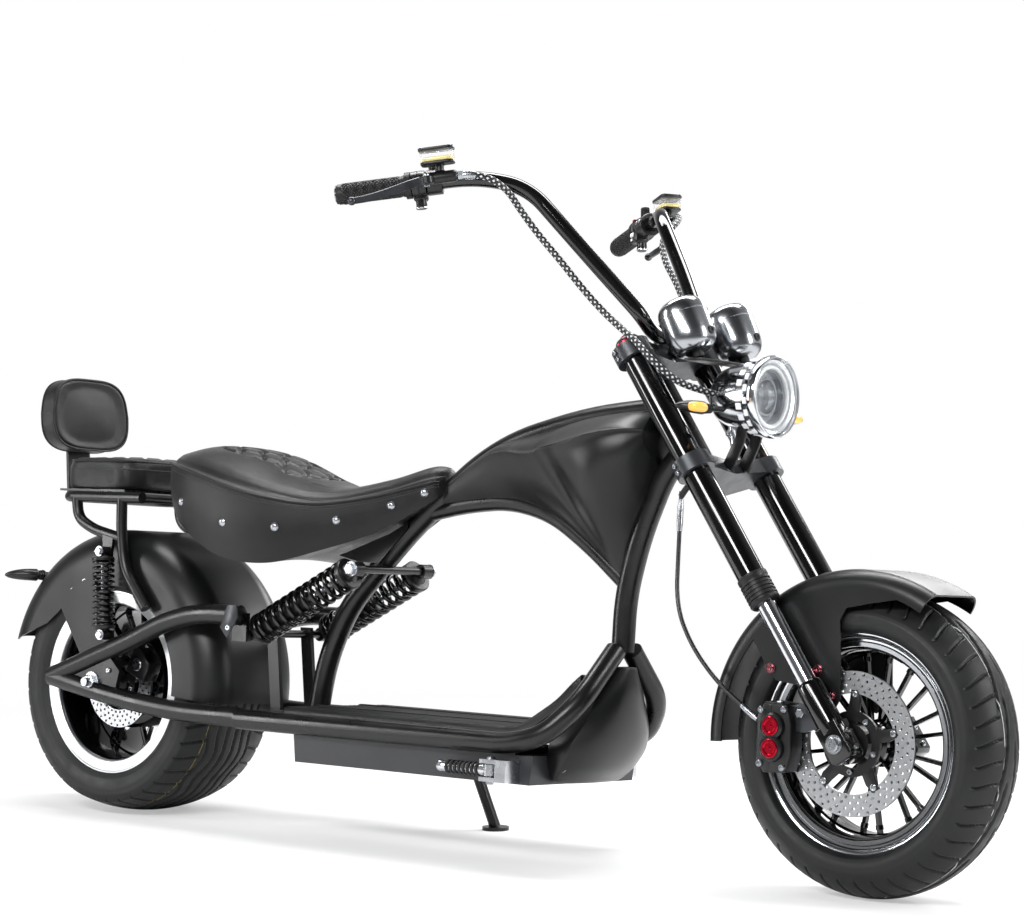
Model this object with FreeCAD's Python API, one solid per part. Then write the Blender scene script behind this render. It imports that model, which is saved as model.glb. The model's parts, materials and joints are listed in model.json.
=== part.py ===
import FreeCAD, Part
import math
import os

V = FreeCAD.Vector

# Electric chopper scooter, in millimetres and degrees.
# Everything is laid out upright: X forward from the rear axle, Y to the left, Z up from the floor.
# At the end the whole machine leans onto its side stand.

# Stance
WHEELBASE = 1579.0
LEAN = 3.8
RAKE = 35.0
STEER_OFFSET = 45.0
GAP = 0.3
RUNNING_GAP = 1.0
STEER_LOCK = 30.0

# Front wheel
FRONT_TYRE_RADIUS = 236.0
FRONT_TYRE_WIDTH = 136.0
FRONT_CROWN_RADIUS = 76.0
FRONT_RIM_WIDTH = 104.0
FRONT_HUB_RADIUS = 36.0
FRONT_HUB_WIDTH = 84.0
FRONT_DISC_RADIUS = 110.0
FRONT_DISC_STANDOFF = 22.0

# Rear wheel
REAR_TYRE_RADIUS = 238.0
REAR_TYRE_WIDTH = 215.0
REAR_CROWN_RADIUS = 300.0
REAR_RIM_WIDTH = 192.0
MOTOR_RADIUS = 86.0
MOTOR_WIDTH = 128.0
REAR_DISC_RADIUS = 84.0
REAR_DISC_STANDOFF = 10.0

# Rims, spokes and discs of both wheels
FLANGE_RADIUS = 166.0
LIP_DEPTH = 20.0
RIM_WALL = 7.0
BEAD_SEAT_RADIUS = 153.0
SPOKE_PAIRS = 10
SPOKE_WIDTH = 7.0
SPOKE_THICKNESS = 9.0
SPOKE_SPREAD = 7.5
DISC_THICKNESS = 4.0
DISC_BAND = 34.0
DISC_ARMS = 5
AXLE_RADIUS = 8.0

# Frame tubes
MAIN_TUBE_RADIUS = 19.0
ARCH_TUBE_RADIUS = 15.0
RAIL_RADIUS = 17.5
RAIL_SPREAD = 150.0
RAIL_HEIGHT = 196.0
HEAD_TUBE_RADIUS = 28.0
HEAD_TUBE_LENGTH = 176.0
HEAD_BORE_RADIUS = 16.0

# Fork and clamps, heights measured along the fork from the axle
FORK_SPREAD = 98.0
FORK_TUBE_RADIUS = 22.5
SLIDER_RADIUS = 15.0
LEG_RADIUS = 21.0
LEG_TOP = 108.0
TUBE_BOTTOM = 250.0
TUBE_TOP = 745.0
LOWER_CLAMP_AT = 505.0
UPPER_CLAMP_AT = 724.0
CLAMP_THICKNESS = 26.0
CLAMP_WALL = 9.0

# Deck and battery
DECK_REAR = 456.0
DECK_FRONT = 975.0
DECK_HALF_WIDTH = 132.0
DECK_TOP = 210.0
DECK_THICKNESS = 22.0
BATTERY_REAR = 503.0
BATTERY_FRONT = 1028.0
BATTERY_HALF_WIDTH = 140.0
BATTERY_BOTTOM = 131.0

# Swingarm
ARM_SPREAD = 140.0
ARM_TUBE_RADIUS = 17.5
PIVOT_AT = (373.0, 198.0)
ARM_PLATE = 8.0

# Fenders
REAR_FENDER_RADIUS = 281.0
REAR_FENDER_HALF_WIDTH = 117.0
REAR_FENDER_EDGE = 178.0
FRONT_FENDER_RADIUS = 264.0
FRONT_FENDER_HALF_WIDTH = FORK_SPREAD - LEG_RADIUS - GAP
FRONT_FENDER_EDGE = 232.0
REAR_FENDER_SHOULDER = 56.0
FRONT_FENDER_SHOULDER = 26.0
FENDER_WALL = 3.0

# Rear springs, and the small springs below the rack
SPRING_SPREAD = 90.0
SPRING_TOP = (586.0, 466.0)
SPRING_BOTTOM = (353.0, 344.0)
SPRING_RADIUS = 29.0
SPRING_EYE_RADIUS = 12.5
SPRING_BOLT_RADIUS = 7.0
SMALL_SPRING_SPREAD = 151.0
SMALL_SPRING_TOP = (20.0, 478.0)
SMALL_SPRING_BOTTOM = (32.0, 326.0)
SMALL_SPRING_RADIUS = 21.0
SMALL_EYE_RADIUS = 9.0
SMALL_BOLT_RADIUS = 4.0

# Rack, pillion pad and backrest
RACK_SPREAD = 132.0
RACK_TUBE_RADIUS = 10.0
RACK_ABOVE_FENDER = 58.3
PILLION_REAR = -132.0
PILLION_FRONT = 56.0
PILLION_HALF_WIDTH = 128.0
PILLION_HEIGHT = 64.0
PILLION_PLATE = 4.0
BACKREST_REAR = -220.0
BACKREST_HALF_WIDTH = 98.0
BACKREST_BOTTOM = 665.0
BACKREST_TOP = 803.0
BACKREST_THICKNESS = 42.0
BACKREST_TILT = 6.0
BACKREST_CORNER = 38.0
BACKREST_ARM = 6.0

# Handlebar and what it carries
BAR_RADIUS = 12.5
GRIP_RADIUS = 17.0
GRIP_LENGTH = 122.0
SWITCH_LENGTH = 25.0
PERCH_LENGTH = 25.0
MIRROR_HOLE_RADIUS = 4.0
MIRROR_HOLE_DEPTH = 12.0
LEVER_REACH = 52.0

# Lamps and gauges
LAMP_ABOVE_CLAMP = 116.0
LAMP_FRONT = 1390.0
LAMP_RADIUS = 65.0
LAMP_DEPTH = 112.0
LENS_DEPTH = 14.0
POD_RADIUS = 40.0
POD_LENGTH = 88.0
POD_TILT = 28.0
POD_SPREAD = 65.0
GAUGE_SHELF_REACH = 102.0
GAUGE_SHELF_DROP = 6.0
INDICATOR_RADIUS = 11.0
HOSE_RADIUS = 3.5
SLEEVE_RADIUS = 5.5

# Side stand and foot pegs
STAND_PIVOT = (640.0, 172.0, 152.0)
STAND_TILT = 15.0
STAND_RAKE = 15.0
STAND_SWING = 105.0
STAND_RADIUS = 10.0
PEG_PIVOT = (962.0, 166.0, 152.0)
PEG_LENGTH = 108.0
PEG_RADIUS = 9.0

def axle_height(tyre_radius, crown_radius):
    """Height of an axle whose round tread meets the floor once the machine leans."""
    return tyre_radius - crown_radius + crown_radius / math.cos(math.radians(LEAN))


FRONT_AXLE = (WHEELBASE, axle_height(FRONT_TYRE_RADIUS, FRONT_CROWN_RADIUS))
REAR_AXLE = (0.0, axle_height(REAR_TYRE_RADIUS, REAR_CROWN_RADIUS))
RAKE_SIN = math.sin(math.radians(RAKE))
RAKE_COS = math.cos(math.radians(RAKE))


def on_fork(along, ahead=0.0, side=0.0):
    """Point given by its distance up the fork, ahead of the fork's plane, and to the left."""
    x = FRONT_AXLE[0] - along * RAKE_SIN + ahead * RAKE_COS
    z = FRONT_AXLE[1] + along * RAKE_COS + ahead * RAKE_SIN
    return V(x, side, z)


FORK_UP = on_fork(1.0) - on_fork(0.0)
RACK_HEIGHT = REAR_AXLE[1] + REAR_FENDER_RADIUS + RACK_ABOVE_FENDER
LAMP_HEIGHT = on_fork(LOWER_CLAMP_AT).z + LAMP_ABOVE_CLAMP
GAUGE_SHELF = on_fork(UPPER_CLAMP_AT).z - GAUGE_SHELF_DROP
GAUGE_MIDDLE = on_fork(UPPER_CLAMP_AT).x + GAUGE_SHELF_REACH

# Routes of bent tubes, each point (x, y, z)
MAIN_TUBE = [(1160, 0, 748), (1010, 0, 733), (820, 0, 684), (640, 0, 548), (492, 0, 398),
             (447, 0, 300), (430, 0, 205)]
ARCH_TUBE = [(664, 0, 566), (752, 0, 584), (850, 0, 592), (940, 0, 572), (1024, 0, 520), (1098, 0, 462)]
DOWN_TUBE = [(1214, 0, 692), (1165, 0, 640), (1122, 0, 540), (1097, 0, 440), (1095, 0, 350)]
RAIL_ROUTE = [(380, RAIL_SPREAD, RAIL_HEIGHT), (985, RAIL_SPREAD, RAIL_HEIGHT),
              (1048, RAIL_SPREAD - 8, RAIL_HEIGHT + 16), (1094, 108, 268), (1097, 22, 352)]
ARM_UPPER = [(-112, ARM_SPREAD, 243), (90, ARM_SPREAD, 318), (180, ARM_SPREAD, 357), (262, ARM_SPREAD, 376),
             (362, ARM_SPREAD, 376)]
ARM_LOWER = [(-112, ARM_SPREAD, 243), (60, ARM_SPREAD, 214), (216, ARM_SPREAD, PIVOT_AT[1]),
             (PIVOT_AT[0], ARM_SPREAD, PIVOT_AT[1])]
RACK_TOP_RAIL = [(96, RACK_SPREAD, RACK_HEIGHT), (-96, RACK_SPREAD, RACK_HEIGHT),
                 (-116, RACK_SPREAD - 20, RACK_HEIGHT), (-116, 0, RACK_HEIGHT)]
RACK_LEG = [(43, RACK_SPREAD, RACK_HEIGHT), (46, RACK_SPREAD, RACK_HEIGHT - 68), (58, RACK_SPREAD, 448),
            (118, RACK_SPREAD, 378)]
RACK_LOOP = [(-77, RACK_SPREAD, RACK_HEIGHT), (-70, RACK_SPREAD, RACK_HEIGHT - 40),
             (-28, RACK_SPREAD, RACK_HEIGHT - 60), (46, RACK_SPREAD, RACK_HEIGHT - 75)]
HANDLEBAR = [(770, 378, 1067), (952, 257, 1102), (1001, 182, 1094), (1092, 132, 984), (1166, 84, 892),
             (1172, 54, 862), (1172, 0, 862)]
BRAKE_HOSE = [(1240, -58, 612), (1242, -62, 520), (1250, -74, 432), (1290, -87, 372), (1342, -95, 322),
              (1390, -98, 288), (1434, -98, 260)]
BRAKE_SLEEVE = [(949, 295, 1100), (978, 276, 1105), (1000, 236, 1086), (998, 196, 1056), (1021, 172, 1015),
                (1056, 160, 976), (1086, 146, 937), (1118, 134, 901), (1156, 130, 870), (1192, 134, 848),
                (1222, 134, 819), (1243, 116, 795), (1262, 86, 776), (LAMP_FRONT - 96, 34, LAMP_HEIGHT)]


def both_sides(shape):
    """A piece and its mirror image on the other side of the machine."""
    return [shape, shape.mirror(V(0, 0, 0), V(0, 1, 0))]


def fuse(shapes):
    """Join overlapping solids into one."""
    return shapes[0].multiFuse(shapes[1:]).removeSplitter()


def cut(shape, tools):
    """Take the tools away from a solid."""
    return shape.cut(Part.makeCompound(tools))


def rod(start, end, radius):
    """Round bar between two points."""
    axis = V(*end) - V(*start)
    return Part.makeCylinder(radius, axis.Length, V(*start), axis)


def face(points):
    """Flat face with straight edges."""
    return Part.Face(Part.makePolygon([V(*p) for p in points] + [V(*points[0])]))


def about(axle, points):
    """Points given from an axle, as (x, z)."""
    return [(axle[0] + x, axle[1] + z) for x, z in points]


def plate(outline, left, thickness):
    """Plate with an (x, z) outline, from its right face at y = left towards the left."""
    return face([(x, left, z) for x, z in outline]).extrude(V(0, thickness, 0))


def bent_path(points):
    """Straight runs joined by tangent arcs that are as large as the runs allow."""
    corners = [V(*p) for p in points]
    edges = []
    start = corners[0]
    for before, corner, after in zip(corners, corners[1:], corners[2:]):
        inward = (before - corner).normalize()
        outward = (after - corner).normalize()
        half_turn = (math.pi - inward.getAngle(outward)) / 2
        reach = 0.45 * min((before - corner).Length, (after - corner).Length)
        radius = reach / math.tan(half_turn)
        middle = (inward + outward).normalize() * (radius / math.cos(half_turn) - radius)
        first = corner + inward * reach
        last = corner + outward * reach
        edges.append(Part.LineSegment(start, first).toShape())
        edges.append(Part.Arc(first, corner + middle, last).toShape())
        start = last
    edges.append(Part.LineSegment(start, corners[-1]).toShape())
    return Part.Wire(edges)


def bent_tube(points, radius):
    """Round tube along a bent path."""
    path = bent_path(points)
    ring = Part.Wire(Part.makeCircle(radius, V(*points[0]), V(*points[1]) - V(*points[0])))
    return path.makePipeShell([ring], True, False)


def ring_about(axle, profile, arcs=(), angle=360.0, start=0.0):
    """Solid turned about a wheel's axle from (y, radius) points; arcs give an index and a middle point."""
    bulges = dict(arcs)
    points = [V(axle[0], y, axle[1] + r) for y, r in profile]
    edges = []
    for index, point in enumerate(points):
        following = points[(index + 1) % len(points)]
        if index in bulges:
            y, r = bulges[index]
            edges.append(Part.Arc(point, V(axle[0], y, axle[1] + r), following).toShape())
        else:
            edges.append(Part.LineSegment(point, following).toShape())
    section = Part.Face(Part.Wire(edges))
    centre = V(axle[0], 0, axle[1])
    section.rotate(centre, V(0, 1, 0), start)
    return section.revolve(centre, V(0, 1, 0), angle)


def turned(profile, base, axis):
    """Solid turned about an axis from (height, radius) points, the first and last on the axis."""
    points = [V(r, 0, h) for h, r in profile]
    solid = face(points).revolve(V(0, 0, 0), V(0, 0, 1), 360)
    solid.Placement = FreeCAD.Placement(V(*base), FreeCAD.Rotation(V(0, 0, 1), V(*axis)))
    return solid


def tyre(axle, radius, width, crown_radius, rim_width):
    """Closed tyre with a round crown, full sidewalls and beads that sit between the rim flanges."""
    crown_edge = min(width / 2 - 6, 0.85 * crown_radius)
    edge_drop = crown_radius - math.sqrt(crown_radius ** 2 - crown_edge ** 2)
    shoulder_radius = radius - edge_drop
    bead = rim_width / 2 - RIM_WALL - GAP
    seat = BEAD_SEAT_RADIUS + GAP
    flange = FLANGE_RADIUS + GAP
    profile = [(-crown_edge, shoulder_radius), (crown_edge, shoulder_radius), (rim_width / 2, flange),
               (bead, flange), (bead, seat), (-bead, seat), (-bead, flange), (-rim_width / 2, flange)]
    belly = (width / 2, (shoulder_radius + flange) / 2)
    arcs = [(0, (0, radius)), (1, belly), (7, (-belly[0], belly[1]))]
    return ring_about(axle, profile, arcs)


def rim(axle, rim_width, hub_radius, hub_width):
    """Rim with sloping polished lips, a hub with its axle bore, and pairs of blade spokes."""
    half = rim_width / 2
    inner = FLANGE_RADIUS - LIP_DEPTH
    well = BEAD_SEAT_RADIUS - RIM_WALL
    barrel = ring_about(axle, [(half, FLANGE_RADIUS), (half - RIM_WALL, FLANGE_RADIUS),
                               (half - RIM_WALL, BEAD_SEAT_RADIUS), (-half + RIM_WALL, BEAD_SEAT_RADIUS),
                               (-half + RIM_WALL, FLANGE_RADIUS), (-half, FLANGE_RADIUS),
                               (-half + RIM_WALL, inner), (-half + 2 * RIM_WALL, well - RIM_WALL),
                               (half - 2 * RIM_WALL, well - RIM_WALL), (half - RIM_WALL, inner)])
    centre = V(axle[0], 0, axle[1])
    hub = rod((axle[0], -hub_width / 2, axle[1]), (axle[0], hub_width / 2, axle[1]), hub_radius)
    tip = well - RIM_WALL + 2
    root = hub_radius - 2
    blades = []
    for pair in range(SPOKE_PAIRS):
        for side in (-1, 1):
            lean = math.radians(side * SPOKE_SPREAD)
            end = (axle[0] + tip * math.sin(lean), axle[1] + tip * math.cos(lean))
            width = SPOKE_WIDTH / 2
            outline = [(axle[0] - width, axle[1] + root), (axle[0] + width, axle[1] + root),
                       (end[0] + width, end[1]), (end[0] - width, end[1])]
            blade = plate(outline, -SPOKE_THICKNESS / 2, SPOKE_THICKNESS)
            blade.rotate(centre, V(0, 1, 0), pair * 360 / SPOKE_PAIRS)
            blades.append(blade)
    bore = rod((axle[0], -hub_width, axle[1]), (axle[0], hub_width, axle[1]), AXLE_RADIUS + GAP)
    return cut(fuse([barrel, hub] + blades), [bore])


def disc(axle, radius, hub_width, standoff):
    """Brake disc on a spider of short arms, beside the hub's right end."""
    face_y = -hub_width / 2 - standoff
    band = ring_about(axle, [(face_y, radius), (face_y - DISC_THICKNESS, radius),
                             (face_y - DISC_THICKNESS, radius - DISC_BAND), (face_y, radius - DISC_BAND)])
    boss = AXLE_RADIUS + 14
    carrier = ring_about(axle, [(-hub_width / 2 - GAP, boss), (face_y - DISC_THICKNESS, boss),
                                (face_y - DISC_THICKNESS, AXLE_RADIUS + GAP),
                                (-hub_width / 2 - GAP, AXLE_RADIUS + GAP)])
    centre = V(axle[0], 0, axle[1])
    arms = []
    for index in range(DISC_ARMS):
        reach = radius - DISC_BAND + 2
        outline = [(axle[0] - 9, axle[1] + boss - 3), (axle[0] + 9, axle[1] + boss - 3),
                   (axle[0] + 6, axle[1] + reach), (axle[0] - 6, axle[1] + reach)]
        arm = plate(outline, face_y - DISC_THICKNESS, DISC_THICKNESS)
        arm.rotate(centre, V(0, 1, 0), index * 360 / DISC_ARMS)
        arms.append(arm)
    return fuse([band, carrier] + arms)


FRONT_DISC_FACE = FRONT_HUB_WIDTH / 2 + FRONT_DISC_STANDOFF
REAR_DISC_FACE = MOTOR_WIDTH / 2 + REAR_DISC_STANDOFF


def head_axis(along):
    """Point on the steering axis, given by its distance up the fork."""
    return on_fork(along, -STEER_OFFSET)


HEAD_MIDDLE = (LOWER_CLAMP_AT + UPPER_CLAMP_AT) / 2


def head_space():
    """Round space that the head housing takes, and its bore."""
    low = head_axis(HEAD_MIDDLE - HEAD_TUBE_LENGTH / 2)
    return [Part.makeCylinder(radius, HEAD_TUBE_LENGTH, low, FORK_UP)
            for radius in (HEAD_TUBE_RADIUS, HEAD_BORE_RADIUS)]


def frame_tubes():
    """Head housing, ridge and seat tube, arch tube, down tube and spring bar, welded into one frame."""
    housing, bore = head_space()
    tubes = [bent_tube(MAIN_TUBE, MAIN_TUBE_RADIUS), bent_tube(ARCH_TUBE, ARCH_TUBE_RADIUS),
             bent_tube(DOWN_TUBE, MAIN_TUBE_RADIUS)]
    reach = SPRING_SPREAD + SPRING_EYE_RADIUS + 6
    bar = rod((SPRING_TOP[0], -reach, SPRING_TOP[1]), (SPRING_TOP[0], reach, SPRING_TOP[1]), SPRING_BOLT_RADIUS)
    return cut(fuse([housing, bar] + tubes), [bore])


# Tank cover ribs from the ridge tube down to the arch or the down tube: ridge x z, panel x y z,
# shoulder x y z, flank x y z, foot x z. The flank folds along the rib that ends lowest.
COVER_RIBS = [
    (680, 582, 680, 12, 581, 680, 13, 580, 680, 12, 577, 680, 574),
    (720, 612, 724, 18, 616, 728, 21, 614, 738, 20, 600, 752, 584),
    (770, 650, 774, 24, 650, 778, 32, 643, 795, 29, 618, 815, 590),
    (820, 684, 824, 32, 676, 827, 44, 665, 845, 36, 632, 870, 590),
    (862, 697, 866, 38, 686, 869, 54, 672, 898, 41, 628, 930, 574),
    (895, 705, 901, 43, 689, 906, 61, 670, 944, 45, 616, 985, 547),
    (922, 711, 930, 45, 693, 937, 67, 670, 988, 46, 596, 1045, 503),
    (945, 716, 953, 43, 701, 960, 70, 677, 1022, 43, 578, 1091, 470),
    (985, 724, 992, 42, 716, 1000, 84, 683, 1050, 66, 590, 1100, 487),
    (1030, 732, 1036, 42, 727, 1044, 93, 692, 1078, 80, 612, 1108, 516),
    (1075, 737, 1080, 42, 734, 1086, 93, 703, 1105, 82, 642, 1122, 556),
    (1120, 742, 1122, 38, 739, 1126, 79, 710, 1136, 72, 664, 1141, 600),
    (1160, 748, 1160, 30, 742, 1160, 58, 711, 1160, 52, 690, 1160, 652),
]
COVER_EDGE = 9.0


def tank_cover(tubes):
    """Creased cover that fills the bay between the ridge, the arch and the down tube."""
    wires = []
    for rib in COVER_RIBS:
        half = [(rib[0], COVER_EDGE, rib[1]), rib[2:5], rib[5:8], rib[8:11], (rib[11], COVER_EDGE, rib[12])]
        outline = half + [(x, -y, z) for x, y, z in reversed(half)]
        wires.append(Part.makePolygon([V(*p) for p in outline] + [V(*outline[0])]))
    return cut(Part.makeLoft(wires, True, True), [tubes, head_space()[0]])


def deck_frame():
    """Side rails that rise to the down tube, with flat cross bars below the floor."""
    rails = both_sides(bent_tube(RAIL_ROUTE, RAIL_RADIUS))
    foot = MAIN_TUBE[-1][0]
    rails.append(rod((foot, -RAIL_SPREAD, RAIL_HEIGHT), (foot, RAIL_SPREAD, RAIL_HEIGHT), RAIL_RADIUS))
    bars = []
    low = RAIL_HEIGHT - RAIL_RADIUS
    top = DECK_TOP - DECK_THICKNESS - GAP
    for x in (DECK_REAR + 15, BATTERY_REAR + 30, BATTERY_FRONT - 60):
        bars.append(Part.makeBox(30, 2 * RAIL_SPREAD, top - low, V(x, -RAIL_SPREAD, low)))
    return fuse(rails + bars)


# Run of the floor's upper face, x and z, up the kick panel
KICK_PANEL = [(1024, 258), (1058, 306)]


def deck_mat():
    """Floor board with its kick panel that rises in front of the feet."""
    low = DECK_TOP - DECK_THICKNESS
    thick = DECK_THICKNESS / 2
    upper = [(DECK_REAR, DECK_TOP), (DECK_FRONT, DECK_TOP)]
    lower = [(DECK_FRONT + thick, low), (DECK_REAR, low)]
    floor = plate(upper + lower, -DECK_HALF_WIDTH, 2 * DECK_HALF_WIDTH)
    outline = [(DECK_FRONT - thick, DECK_TOP - thick)] + KICK_PANEL
    back = [(x + thick, z - thick / 2) for x, z in reversed(KICK_PANEL)]
    kick = plate(outline + back + [(DECK_FRONT + thick, low)], -DECK_HALF_WIDTH, 2 * DECK_HALF_WIDTH)
    taper = face([(DECK_REAR, -DECK_HALF_WIDTH, 0), (DECK_FRONT, -DECK_HALF_WIDTH, 0), (1092, -40, 0),
                  (1092, 40, 0), (DECK_FRONT, DECK_HALF_WIDTH, 0), (DECK_REAR, DECK_HALF_WIDTH, 0)])
    return fuse([floor, kick]).common(taper.extrude(V(0, 0, 600)))


def battery_box():
    """Flat battery case below the floor, with sloping ends."""
    top = RAIL_HEIGHT - RAIL_RADIUS - GAP
    outline = [(BATTERY_REAR, top), (BATTERY_REAR + 6, BATTERY_BOTTOM), (BATTERY_FRONT - 6, BATTERY_BOTTOM),
               (BATTERY_FRONT, top)]
    return plate(outline, -BATTERY_HALF_WIDTH, 2 * BATTERY_HALF_WIDTH)


# Chin cover sections: height, back x, side x, front x, half-width
CHIN_SECTIONS = [
    (133, BATTERY_FRONT + GAP, 1034, 1046, 90),
    (188, BATTERY_FRONT + GAP, 1070, 1094, 106),
    (232, 1034, 1088, 1112, 90),
    (280, 1062, 1096, 1116, 56),
    (318, 1092, 1100, 1112, 26),
]


def chin_cover():
    """Curved shovel between the rising rails, from the battery's front up to the down tube."""
    wires = []
    for z, back, side, front, half in CHIN_SECTIONS:
        edges = [Part.LineSegment(V(back, half, z), V(back, -half, z)).toShape(),
                 Part.LineSegment(V(back, -half, z), V(side, -half, z)).toShape(),
                 Part.Arc(V(side, -half, z), V(front, 0, z), V(side, half, z)).toShape(),
                 Part.LineSegment(V(side, half, z), V(back, half, z)).toShape()]
        wires.append(Part.Wire(edges))
    return Part.makeLoft(wires, True, True)


# Seat sections: x, half-width at the seam, seam height, crown height, skirt half-width, skirt height
SEAT_SECTIONS = [
    (112, 60, 640, 652, 56, 604),
    (150, 108, 646, 668, 100, 560),
    (215, 140, 630, 676, 132, 520),
    (310, 150, 604, 662, 142, 474),
    (410, 138, 584, 626, 130, 468),
    (500, 104, 576, 606, 98, 494),
    (600, 66, 592, 622, 60, 530),
    (680, 46, 612, 644, 42, 572),
    (712, 26, 622, 640, 24, 596),
]


def seat(tubes):
    """Saddle with a crowned top, a seam all round and a leather skirt below it."""
    wires = []
    for x, half, seam, crown, skirt, bottom in SEAT_SECTIONS:
        edges = [Part.LineSegment(V(x, -skirt, bottom), V(x, skirt, bottom)).toShape(),
                 Part.LineSegment(V(x, skirt, bottom), V(x, half, seam)).toShape(),
                 Part.Arc(V(x, half, seam), V(x, 0, crown), V(x, -half, seam)).toShape(),
                 Part.LineSegment(V(x, -half, seam), V(x, -skirt, bottom)).toShape()]
        wires.append(Part.Wire(edges))
    return Part.makeLoft(wires, True, True).cut(tubes)


def seat_bracket():
    """Pressed bracket between the seat's underside and the seat tube."""
    outline = [(440, 500), (640, 560), (640, 540), (577, 478), (530, 478), (470, 492)]
    tie = plate([(530, 478), (560, 478), (570, 484), (530, 484)], -16, 32)
    return fuse(both_sides(plate(outline, 14, 8)) + [tie])


def spring_unit(top, bottom, side, radius, eye, bolt, coils):
    """Damper with eyes at both ends and a coil drawn as a row of full turns."""
    start = V(bottom[0], side, bottom[1])
    end = V(top[0], side, top[1])
    axis = end - start
    length = axis.Length
    wire = 0.16 * radius
    first = 1.4 * eye
    last = length - 1.4 * eye
    core = 0.5 * radius
    profile = [(eye / 2, 0), (eye / 2, core * 0.7), (first, core * 0.7), (first, radius),
               (first + 2 * wire, radius)]
    pitch = (last - first - 4 * wire) / coils
    for turn in range(coils):
        base = first + 2 * wire + turn * pitch
        profile += [(base, core), (base + 0.22 * pitch, core), (base + 0.4 * pitch, radius - wire),
                    (base + 0.82 * pitch, radius - wire), (base + pitch, core)]
    profile += [(last - 2 * wire, radius), (last, radius), (last, core * 0.7), (length - eye / 2, core * 0.7),
                (length - eye / 2, 0)]
    body = turned(profile, start, axis)
    eyes = [rod((p.x, side - eye, p.z), (p.x, side + eye, p.z), eye) for p in (start, end)]
    holes = [rod((p.x, side - 2 * eye, p.z), (p.x, side + 2 * eye, p.z), bolt + GAP) for p in (start, end)]
    return cut(fuse([body] + eyes), holes)


def main_springs():
    """Pair of long spring units that lie below the seat."""
    unit = spring_unit(SPRING_TOP, SPRING_BOTTOM, SPRING_SPREAD, SPRING_RADIUS, SPRING_EYE_RADIUS,
                       SPRING_BOLT_RADIUS, 9)
    return Part.makeCompound(both_sides(unit))


def small_springs():
    """Pair of short spring units between the rack and the swingarm."""
    unit = spring_unit(SMALL_SPRING_TOP, SMALL_SPRING_BOTTOM, SMALL_SPRING_SPREAD, SMALL_SPRING_RADIUS,
                       SMALL_EYE_RADIUS, SMALL_BOLT_RADIUS, 8)
    return Part.makeCompound(both_sides(unit))


def spring_lug(eye, height):
    """Lug inside a small spring's eye, reaching up or down to its tube, with the spring's bolt."""
    x, z = eye
    inner = SMALL_SPRING_SPREAD - SMALL_EYE_RADIUS - GAP
    lug = plate([(x - 11, z - 9), (x + 11, z - 9), (x + 11, z + 9), (x - 11, z + 9)], inner - 6, 6)
    reach = plate([(x - 11, z), (x + 11, z), (x + 14, z + height), (x - 14, z + height)], inner - 6, 6)
    bolt = rod((x, inner - 3, z), (x, SMALL_SPRING_SPREAD + SMALL_EYE_RADIUS + 4, z), SMALL_BOLT_RADIUS)
    return both_sides(fuse([lug, reach, bolt]))


def swingarm():
    """Two bent tubes a side that close behind the axle, with spring plates, a pivot tube and gussets."""
    sides = []
    for route in (ARM_UPPER, ARM_LOWER):
        sides += both_sides(bent_tube(route, ARM_TUBE_RADIUS))
    inner = ARM_SPREAD - ARM_TUBE_RADIUS
    x, z = SPRING_BOTTOM
    dropout = plate([(-60, 236), (-40, 268), (40, 290), (70, 262), (60, 222), (-20, 216)],
                    ARM_SPREAD - 5, 10)
    spring_plate = plate([(x - 20, z - 14), (x + 14, z - 14), (x + 14, 380), (x - 20, 380)],
                         inner - 3, ARM_PLATE)
    bolt = rod((x, -inner, z), (x, inner, z), SPRING_BOLT_RADIUS)
    pivot = rod((PIVOT_AT[0], -inner - 4, PIVOT_AT[1]), (PIVOT_AT[0], inner + 4, PIVOT_AT[1]), 12)
    gusset = plate([(x - 12, z + 12), (x + 12, z + 12), (PIVOT_AT[0] + 12, PIVOT_AT[1]),
                    (PIVOT_AT[0] - 12, PIVOT_AT[1])], 40, ARM_PLATE)
    parts = sides + both_sides(dropout) + both_sides(spring_plate) + [bolt, pivot] + both_sides(gusset)
    parts += spring_lug(SMALL_SPRING_BOTTOM, -24)
    bore = rod((0, -2 * ARM_SPREAD, REAR_AXLE[1]), (0, 2 * ARM_SPREAD, REAR_AXLE[1]), AXLE_RADIUS + GAP)
    return cut(fuse(parts), [bore])


def rear_axle():
    """Axle that holds the rear wheel between the swingarm's ends."""
    reach = ARM_SPREAD + ARM_TUBE_RADIUS + 8
    return rod((0, -reach, REAR_AXLE[1]), (0, reach, REAR_AXLE[1]), AXLE_RADIUS)


def fender_shell(axle, radius, half_width, edge, shoulder, start, sweep):
    """Fender turned about the axle: a flat back, round shoulders and side walls."""
    side = radius - shoulder
    bend = shoulder * (1 - math.sqrt(0.5))
    wall = FENDER_WALL
    profile = [(-half_width, edge), (-half_width, side), (-half_width + shoulder, radius),
               (half_width - shoulder, radius), (half_width, side), (half_width, edge),
               (half_width - wall, edge), (half_width - wall, side), (half_width - shoulder, radius - wall),
               (-half_width + shoulder, radius - wall), (-half_width + wall, side), (-half_width + wall, edge)]
    outer = (half_width - bend, radius - bend)
    inner = (half_width - wall - bend * (1 - wall / shoulder), radius - wall - bend * (1 - wall / shoulder))
    arcs = [(1, (-outer[0], outer[1])), (3, outer), (7, inner), (9, (-inner[0], inner[1]))]
    return ring_about(axle, profile, arcs, sweep, start)


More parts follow.
